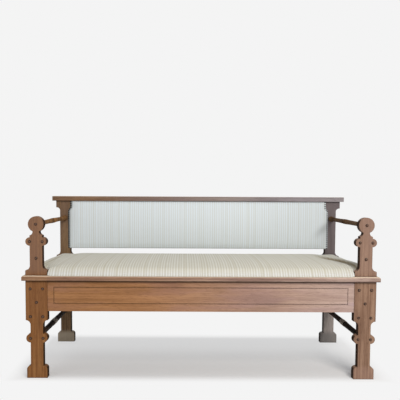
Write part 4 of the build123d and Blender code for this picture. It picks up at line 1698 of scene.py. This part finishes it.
def stretched_sheet(name: str, low: Vector, high: Vector, finish: Material, sag: float) -> Object:
    """Makes a thin sheet that fills the two longer sides of a box and sags a little in between.

    Args:
        name: The piece's name.
        low: The box's lowest corner.
        high: Its highest corner.
        finish: The cloth.
        sag: How far the middle gives, away from the box, in metres.

    Returns:
        The sheet, with its thickness and its threads' UV map.
    """
    size = high - low
    thin = min(range(3), key=lambda axis: size[axis])
    first, second = (axis for axis in range(3) if axis != thin)
    way = 1.0 if thin == 1 else -1.0
    counts = [max(2, round(size[axis] / SHEET_STEP)) for axis in (first, second)]
    shape = bmesh.new()
    weave = shape.loops.layers.uv.new(WEAVE)
    grid = []
    for i in range(counts[0] + 1):
        row = []
        for j in range(counts[1] + 1):
            across, up = i / counts[0], j / counts[1]
            spot = low.copy()
            spot[first] += size[first] * across
            spot[second] += size[second] * up
            give = sag * (math.sin(math.pi * across) * math.sin(math.pi * up)) ** SAG_POWER
            spot[thin] = (low[thin] + high[thin]) / 2 + way * give
            row.append(shape.verts.new(spot))
        grid.append(row)
    for i in range(counts[0]):
        for j in range(counts[1]):
            face = shape.faces.new([grid[i][j], grid[i + 1][j], grid[i + 1][j + 1], grid[i][j + 1]])
            face.smooth = True
            for loop in face.loops:
                loop[weave].uv = (loop.vert.co[first], loop.vert.co[second])
    if shape.faces[:][0].normal[thin] * way < 0:
        bmesh.ops.reverse_faces(shape, faces=shape.faces)
    mesh = bpy.data.meshes.new(name)
    shape.to_mesh(mesh)
    shape.free()
    sheet = new_piece(name, mesh, finish)
    thickness = sheet.modifiers.new("thickness", "SOLIDIFY")
    thickness.thickness = size[thin]
    thickness.offset = 0
    log.info("%s is stretched", name)
    return sheet


@dataclass(frozen=True)
class BackUpholstery:
    """The stuffed panel between the rear posts: its nailed front cover and its plain back."""

    step: float = 8 * MM
    row_gaps: tuple[float, ...] = (1.5 * MM, 5 * MM, 11 * MM)
    column_shares: tuple[float, ...] = (0.003, 0.009, 0.017)  # of the panel's half width
    probe_share: float = 0.99  # keeps the probes inside the plain cover
    probe_distance: float = 200 * MM
    fullness: float = 5 * MM
    fullness_width: float = 34 * MM
    fullness_inset: float = 2.4  # from the side, in widths of what a nail holds down
    nail_hold: float = 5.5 * MM
    nail_strip: float = 10 * MM
    nail_proud: float = 0.2 * MM  # how far the cloth may stand up at a nail
    edge_proud: float = 0.9 * MM  # and how far between two nails
    lap_thickness: float = 2 * MM
    under_lap_thickness: float = 1.2 * MM
    outside_sag: float = 0.4 * MM
    outside_bend: float = 14 * MM  # over which the outside back narrows towards its head
    under_share: float = 0.6  # how strong the painted shade along the cloth's lower edge is, where it turns under
    under_height: float = 4 * MM
    dark_share: float = 0.9  # how strong the painted shadow along the nails of the left post is
    dark_reach: float = 15 * MM
    dark_fade: float = 10 * MM
    arm_shade_spot: tuple[float, float] = (0.658, 0.608)  # middle of the painted shade by the right post, across and up
    arm_shade_share: float = 0.3
    arm_shade_length: float = 48 * MM
    arm_shade_width: float = 20 * MM
    right_shade_share: float = 0.07  # how much painted shade lies on the cloth towards the right post
    right_shade_start: float = 250 * MM
    right_shade_fade: float = 300 * MM

    def build(self, nodes: Mapping[str, Object], cloth: Material) -> None:
        """Builds the front cover and the outside back.

        Args:
            nodes: The frame's nodes by name.
            cloth: The striped cloth.
        """
        low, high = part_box("back_cover")
        nails = []
        for end in ("left", "right"):
            nails.extend(head_spots(nodes[f"back_nails_{end}"], Facing.FRONT))
        reach = self.edge_line(nails, high.x)
        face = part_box("rear_leg_right")[0].y
        mesh = self.cover_mesh(nodes["back_cover"], reach, low, high, face)
        cover = new_piece("back_cushion", mesh, cloth)
        self.press_nails(mesh, nails, reach, face - self.lap_thickness)
        # Painted shade along the lower edge, by the left post's nails and towards the right post
        painted_shades = mesh.attributes.new(PAINTED_SHADE, "FLOAT", "POINT").data
        for vert in mesh.vertices:
            vert.co.z = min(vert.co.z, high.z)
            under = max(0.0, 1.0 - (vert.co.z - low.z) / self.under_height)
            # The end away from the light gets a painted shadow along its nails
            from_left = vert.co.x + reach(vert.co.z)
            edge = min(1.0, max(0.0, (self.dark_reach - from_left) / self.dark_fade))
            # Painted shade that grows towards the right post
            right_shade = self.right_shade_share * min(1.0, max(0.0, (vert.co.x - self.right_shade_start) / self.right_shade_fade))
            shades = (self.under_share * under, self.dark_share * edge, right_shade + self.arm_shade(vert.co))
            painted_shades[vert.index].value = max(shades)
        cover.modifiers.new("smooth", "SUBSURF").render_levels = 1
        cover.modifiers["smooth"].levels = 1
        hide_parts("back_cover")
        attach(cover, "root")
        self.under_lap(cloth, face)
        self.outside_back(nodes, cloth)

    def arm_shade(self, spot: Vector) -> float:
        """Gives the painted shade that runs on a slant by the right post at the arm's height.

        Args:
            spot: A spot of the cloth.

        Returns:
            The shade, from 0 to its own share.
        """
        across, up = spot.x - self.arm_shade_spot[0], spot.z - self.arm_shade_spot[1]
        along, aside = (across + up) / math.sqrt(2), (across - up) / math.sqrt(2)
        fall = (along / self.arm_shade_length) ** 2 + (aside / self.arm_shade_width) ** 2
        return self.arm_shade_share * math.exp(-fall)

    def edge_line(self, nails: Sequence[Vector], widest: float) -> Callable[[float], float]:
        """Finds how far the cloth reaches at each height, a little beyond the line of the nails.

        Args:
            nails: Where the nails stand.
            widest: How far it reaches where it is widest.

        Returns:
            A function that gives the reach from the middle at a height.
        """
        heights, widths = zip(*sorted((spot.z, spot.x) for spot in nails if spot.x > 0))
        beyond = widest - max(widths)
        return lambda z: float(np.interp(z, heights, widths)) + beyond

    def cover_mesh(
        self,
        node: Object,
        reach: Callable[[float], float],
        low: Vector,
        high: Vector,
        face: float,
    ) -> Mesh:
        """Builds the closed front cover, with the frame's crown and fuller edges.

        Args:
            node: The frame's plain cover, which gives the crown.
            reach: How far the cloth reaches from the middle at a height.
            low: Lowest corner of the plain cover's box.
            high: Its highest corner.
            face: Depth of the posts' front.

        Returns:
            The cover's mesh, with its threads' UV map.
        """
        rows = stops_with_steps([low.z, high.z], self.step, self.row_gaps)
        columns = stops_with_steps([-1.0, 1.0], self.step / high.x, self.column_shares)
        shape = bmesh.new()
        weave = shape.loops.layers.uv.new(WEAVE)
        grid = []
        for z in rows:
            half = reach(z)
            row = []
            for share in columns:
                x = share * half
                height = min(max(z, low.z + MM), high.z - MM)
                probe = Vector((x * self.probe_share, low.y - self.probe_distance, height))
                hit, spot, _, _ = node.ray_cast(probe, Vector((0, 1, 0)))
                front = spot.y if hit else face - self.lap_thickness
                inward = min(half - self.fullness_inset * self.nail_hold - abs(x), z - low.z, high.z - z)
                full = math.sin(math.pi / 2 * min(1.0, max(0.0, inward / self.fullness_width)))
                row.append(shape.verts.new((x, front - self.fullness * full, z)))
            grid.append(row)
        for i in range(len(rows) - 1):
            for j in range(len(columns) - 1):
                shape.faces.new([grid[i][j], grid[i][j + 1], grid[i + 1][j + 1], grid[i + 1][j]])
        rim = [edge for edge in shape.edges if edge.is_boundary]
        made = bmesh.ops.extrude_edge_only(shape, edges=rim)["geom"]
        for item in made:
            if isinstance(item, bmesh.types.BMVert):
                item.co.y = face
        hem = [edge for edge in shape.edges if edge.is_boundary]
        bmesh.ops.triangle_fill(shape, use_beauty=True, edges=hem)
        bmesh.ops.recalc_face_normals(shape, faces=shape.faces)
        for surface in shape.faces:
            surface.smooth = True
            for loop in surface.loops:
                loop[weave].uv = loop.vert.co.xz
        mesh = bpy.data.meshes.new("back_cushion")
        shape.to_mesh(mesh)
        shape.free()
        return mesh

    def press_nails(
        self, mesh: Mesh, nails: Sequence[Vector], reach: Callable[[float], float], flat: float
    ) -> None:
        """Keeps the cloth along its edges behind the heads of the nails, and deepest at each one.

        Args:
            mesh: The cover's mesh.
            nails: Where the nails stand.
            reach: How far the cloth reaches from the middle at a height.
            flat: Depth of the cloth's front where it lies on the posts.
        """
        for vert in mesh.vertices:
            x, y, z = vert.co
            if reach(z) - abs(x) > self.nail_strip:
                continue
            nearest = min(math.hypot(x - nail.x, z - nail.z) for nail in nails)
            proud = self.nail_proud if nearest < self.nail_hold else self.edge_proud
            vert.co.y = max(y, flat - proud)

    def under_lap(self, cloth: Material, face: float) -> None:
        """Wraps the cloth under the panel, from its front edge to its back.

        Args:
            cloth: The striped cloth.
            face: Depth of the posts' front.
        """
        low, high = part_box("back_cover")
        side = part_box("outside_back")[1].x
        lap = stretched_sheet(
            "back_under_lap",
            Vector((-side, face, low.z)),
            Vector((side, high.y, low.z + self.under_lap_thickness)),
            cloth,
            0.0,
        )
        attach(lap, "root")

    def outside_back(self, nodes: Mapping[str, Object], cloth: Material) -> None:
        """Stretches cloth over the back of the panel, between the posts.

        Args:
            nodes: The frame's nodes by name.
            cloth: The striped cloth.
        """
        low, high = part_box("outside_back")
        spots = [v.co for v in nodes["outside_back"].data.vertices]
        head = min(abs(spot.x) for spot in spots if spot.z > high.z - MM)
        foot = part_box("back_stile_right")[1].x
        narrow_from = max(spot.z for spot in spots if abs(spot.x) > foot - MM)
        back = stretched_sheet("outside_back_cloth", low, high, cloth, self.outside_sag)
        for vert in back.data.vertices:
            share = min(1.0, max(0.0, (vert.co.z - narrow_from) / self.outside_bend))
            vert.co.x *= 1.0 + (head / high.x - 1.0) * share
        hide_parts("outside_back")
        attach(back, "root")


@dataclass(frozen=True)
class Stuffing:
    """What lies inside the seat and the back: webbing, hessian and curled hair."""

    hessian_thread: float = 3 * MM  # real hessian has a thread every 2 mm, drawn coarse to show
    webbing_thread: float = 2.4 * MM
    hair_tuft: float = 5 * MM

    def dress(self, nodes: Mapping[str, Object]) -> None:
        """Gives the inner layers their finishes.

        Args:
            nodes: The frame's nodes by name.
        """
        # Raw jute is dull and straw brown, with dark gaps in its coarse weave. Curled hair is a
        # brown tangle that catches no light.
        finishes = {
            "hessian": PlainWeave("jute_hessian", "#a98a63", "#5d4630", self.hessian_thread).build(),
            "webbing": PlainWeave("jute_webbing", "#b49a78", "#6a5238", self.webbing_thread).build(),
            "stuffing": PlainWeave("curled_hair", "#6e5c49", "#2f251c", self.hair_tuft).build(),
        }
        for node, finish in (
            ("seat_hessian", "hessian"),
            ("back_hessian", "hessian"),
            ("cross_webbing", "webbing"),
            ("long_webbing", "webbing"),
            ("seat_stuffing", "stuffing"),
            ("back_stuffing", "stuffing"),
        ):
            nodes[node].data.materials.clear()
            nodes[node].data.materials.append(finishes[finish])
            log.info("%s is finished", node)


# Studio


@dataclass(frozen=True)
class Lamp:
    """A square soft lamp: where it hangs and what it faces, its power in watts and its side."""

    name: str
    spot: tuple[float, float, float]
    aim: tuple[float, float, float]
    power: float
    size: float
    hue: str


@dataclass(frozen=True)
class Studio:
    """A pale floor, soft lamps, and the camera at the spot that the photograph was taken from."""

    camera_spot: tuple[float, float, float] = (-0.0723, -2.4756, 0.8043)
    pitch_down: float = math.radians(3.134)
    roll: float = math.radians(0.253)
    focal_pixels: float = 516.7
    optical_centre: tuple[float, float] = (184.26, 220.15)
    backdrop: str = "#f4f4f4"
    floor_hue: str = "#f2f2f2"
    floor_half: float = 9.0
    shadow_side: tuple[float, float] = (0.68, 0.86)  # from the middle, where the shadow runs out
    shadow_back: tuple[float, float] = (0.2, 0.42)
    shadow_front: tuple[float, float] = (-0.24, -0.34)
    veil_span: tuple[float, float] = (-0.26, 0.2)  # over which the shadow is lightened, to the back
    veil_share: float = 0.6
    ambient: float = 0.56
    ambient_hue: str = "#fbfcff"
    lamps: tuple[Lamp, ...] = (
        Lamp("key_lamp", (1.1, -2.8, 2.5), (0.1, 0.0, 0.4), power=84.0, size=1.5, hue="#fffaf4"),
        Lamp("fill_lamp", (-2.4, -2.6, 1.6), (-0.2, 0.0, 0.4), power=6.0, size=2.2, hue="#eef4ff"),
    )

    def build(self) -> None:
        """Sets up the camera, the lamps, the world and the floor."""
        scene = bpy.context.scene
        scene.view_settings.view_transform = "Standard"
        self.camera(scene)
        self.world(scene)
        for lamp in self.lamps:
            self.hang(lamp)
        self.floor()

    def camera(self, scene: Scene) -> None:
        """Places the camera and frames the settle as the photograph does.

        Args:
            scene: The scene that gets it.
        """
        data = bpy.data.cameras.new("camera")
        data.sensor_width = 36.0
        data.lens = self.focal_pixels / PHOTO_PIXELS * data.sensor_width
        half = PHOTO_PIXELS / 2
        data.shift_x = (half - self.optical_centre[0]) / PHOTO_PIXELS
        data.shift_y = (self.optical_centre[1] - half) / PHOTO_PIXELS
        cosine, sine = math.cos(self.pitch_down), math.sin(self.pitch_down)
        turn, lean = math.cos(self.roll), math.sin(self.roll)
        right = Vector((turn, lean * sine, lean * cosine))
        up = Vector((-lean, turn * sine, turn * cosine))
        backward = Vector((0.0, -cosine, sine))
        camera = bpy.data.objects.new("camera", data)
        axes = Matrix((right, up, backward)).transposed()
        camera.matrix_world = Matrix.Translation(self.camera_spot) @ axes.to_4x4()
        scene.collection.objects.link(camera)
        scene.camera = camera

    def world(self, scene: Scene) -> None:
        """Lights the settle evenly from all round, and shows the backdrop's colour to the camera.

        Args:
            scene: The scene that gets it.
        """
        world = bpy.data.worlds.new("studio")
        world.use_nodes = True
        tree = world.node_tree
        tree.nodes.clear()
        lights = [ray_is_seen(tree)]
        for hue, strength in ((self.ambient_hue, self.ambient), (self.backdrop, 1.0)):
            light = {"Color": linear(hue), "Strength": strength}
            lights.append(put(tree, "ShaderNodeBackground", light).outputs[0])
        mix = put(tree, "ShaderNodeMixShader", lights)
        put(tree, "ShaderNodeOutputWorld", {"Surface": mix.outputs[0]})
        scene.world = world

    def hang(self, lamp: Lamp) -> None:
        """Hangs a lamp at its spot and aims it.

        Args:
            lamp: The lamp.
        """
        data = bpy.data.lights.new(lamp.name, "AREA")
        data.energy = lamp.power
        data.size = lamp.size
        data.color = linear(lamp.hue)[:3]
        light = bpy.data.objects.new(lamp.name, data)
        light.location = lamp.spot
        light.rotation_euler = (Vector(lamp.aim) - Vector(lamp.spot)).to_track_quat("-Z", "Y").to_euler()
        bpy.context.scene.collection.objects.link(light)

    def floor(self) -> None:
        """Lays a pale floor that takes the settle's shadow and melts into the backdrop."""
        half = self.floor_half
        mesh = bpy.data.meshes.new("studio_floor")
        outline = [(-half, -half, 0), (half, -half, 0), (half, half, 0), (-half, half, 0)]
        mesh.from_pydata(outline, [], [(0, 1, 2, 3)])
        material, tree = blank_material("studio_floor")
        place = put(tree, "ShaderNodeTexCoord").outputs["Object"]
        across, depth, _ = put(tree, "ShaderNodeSeparateXYZ", (place,)).outputs
        aside = put(tree, "ShaderNodeMath", (across,), operation="ABSOLUTE").outputs[0]
        far = 0.0
        for span in (
            (aside, *self.shadow_side),
            (depth, *self.shadow_back),
            (depth, *self.shadow_front),
            (depth, *self.veil_span, 0.0, self.veil_share),
        ):
            mask = put(tree, "ShaderNodeMapRange", span, **SMOOTH).outputs[0]
            far = put(tree, "ShaderNodeMath", (far, mask), operation="MAXIMUM").outputs[0]
        share = put(tree, "ShaderNodeMath", (far, ray_is_seen(tree)), operation="MULTIPLY").outputs[0]
        paint = put(tree, "ShaderNodeBsdfDiffuse", {"Color": linear(self.floor_hue)}).outputs[0]
        glow = put(tree, "ShaderNodeEmission", {"Color": linear(self.backdrop), "Strength": 1.0}).outputs[0]
        mix = put(tree, "ShaderNodeMixShader", (share, paint, glow))
        put(tree, "ShaderNodeOutputMaterial", {"Surface": mix.outputs[0]})
        new_piece("studio_floor", mesh, material)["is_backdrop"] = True


def corners(box: tuple[Vector, Vector]) -> list[list[float]]:
    """Turns a box into plain lists of numbers."""
    return [[round(value, 5) for value in corner] for corner in box]


def main() -> None:
    """Dresses the frame, builds the soft pieces and the fastenings, and sets up the studio."""
    logging.basicConfig(level=logging.INFO, format="%(name)s: %(message)s")
    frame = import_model()
    frame_box = corners(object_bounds())
    nodes = frame["nodes"]
    # The seat's cloth is yellower, and its faces that look up are darker still, partly painted shade and
    # partly the yellowing of use; the back's has kept its cooler white
    seat_cloth = StripedCloth(
        "striped_seat_cloth", "#cecfcd", "#bdbab2", "#b4af9e", "#74613a", top_hue="#fffdf2"
    ).build()
    back_cloth = StripedCloth("striped_back_cloth", "#d4dde2", "#cbd0d0", "#c4c8c3", "#3a3934").build()
    # Black cotton lining is thin and matt, and has greyed with dust
    lining = PlainWeave("black_lining", "#2a2a2d", "#121214").build()
    Joinery().dress(nodes)
    Stuffing().dress(nodes)
    SeatUpholstery().build(nodes, seat_cloth, lining)
    log.info("the seat is covered")
    BackUpholstery().build(nodes, back_cloth)
    log.info("the back is covered")
    Fastenings().build(nodes)
    Studio().build()
    {"frame": frame_box, "dressed": corners(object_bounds())}


if __name__ == "__main__":
    main()
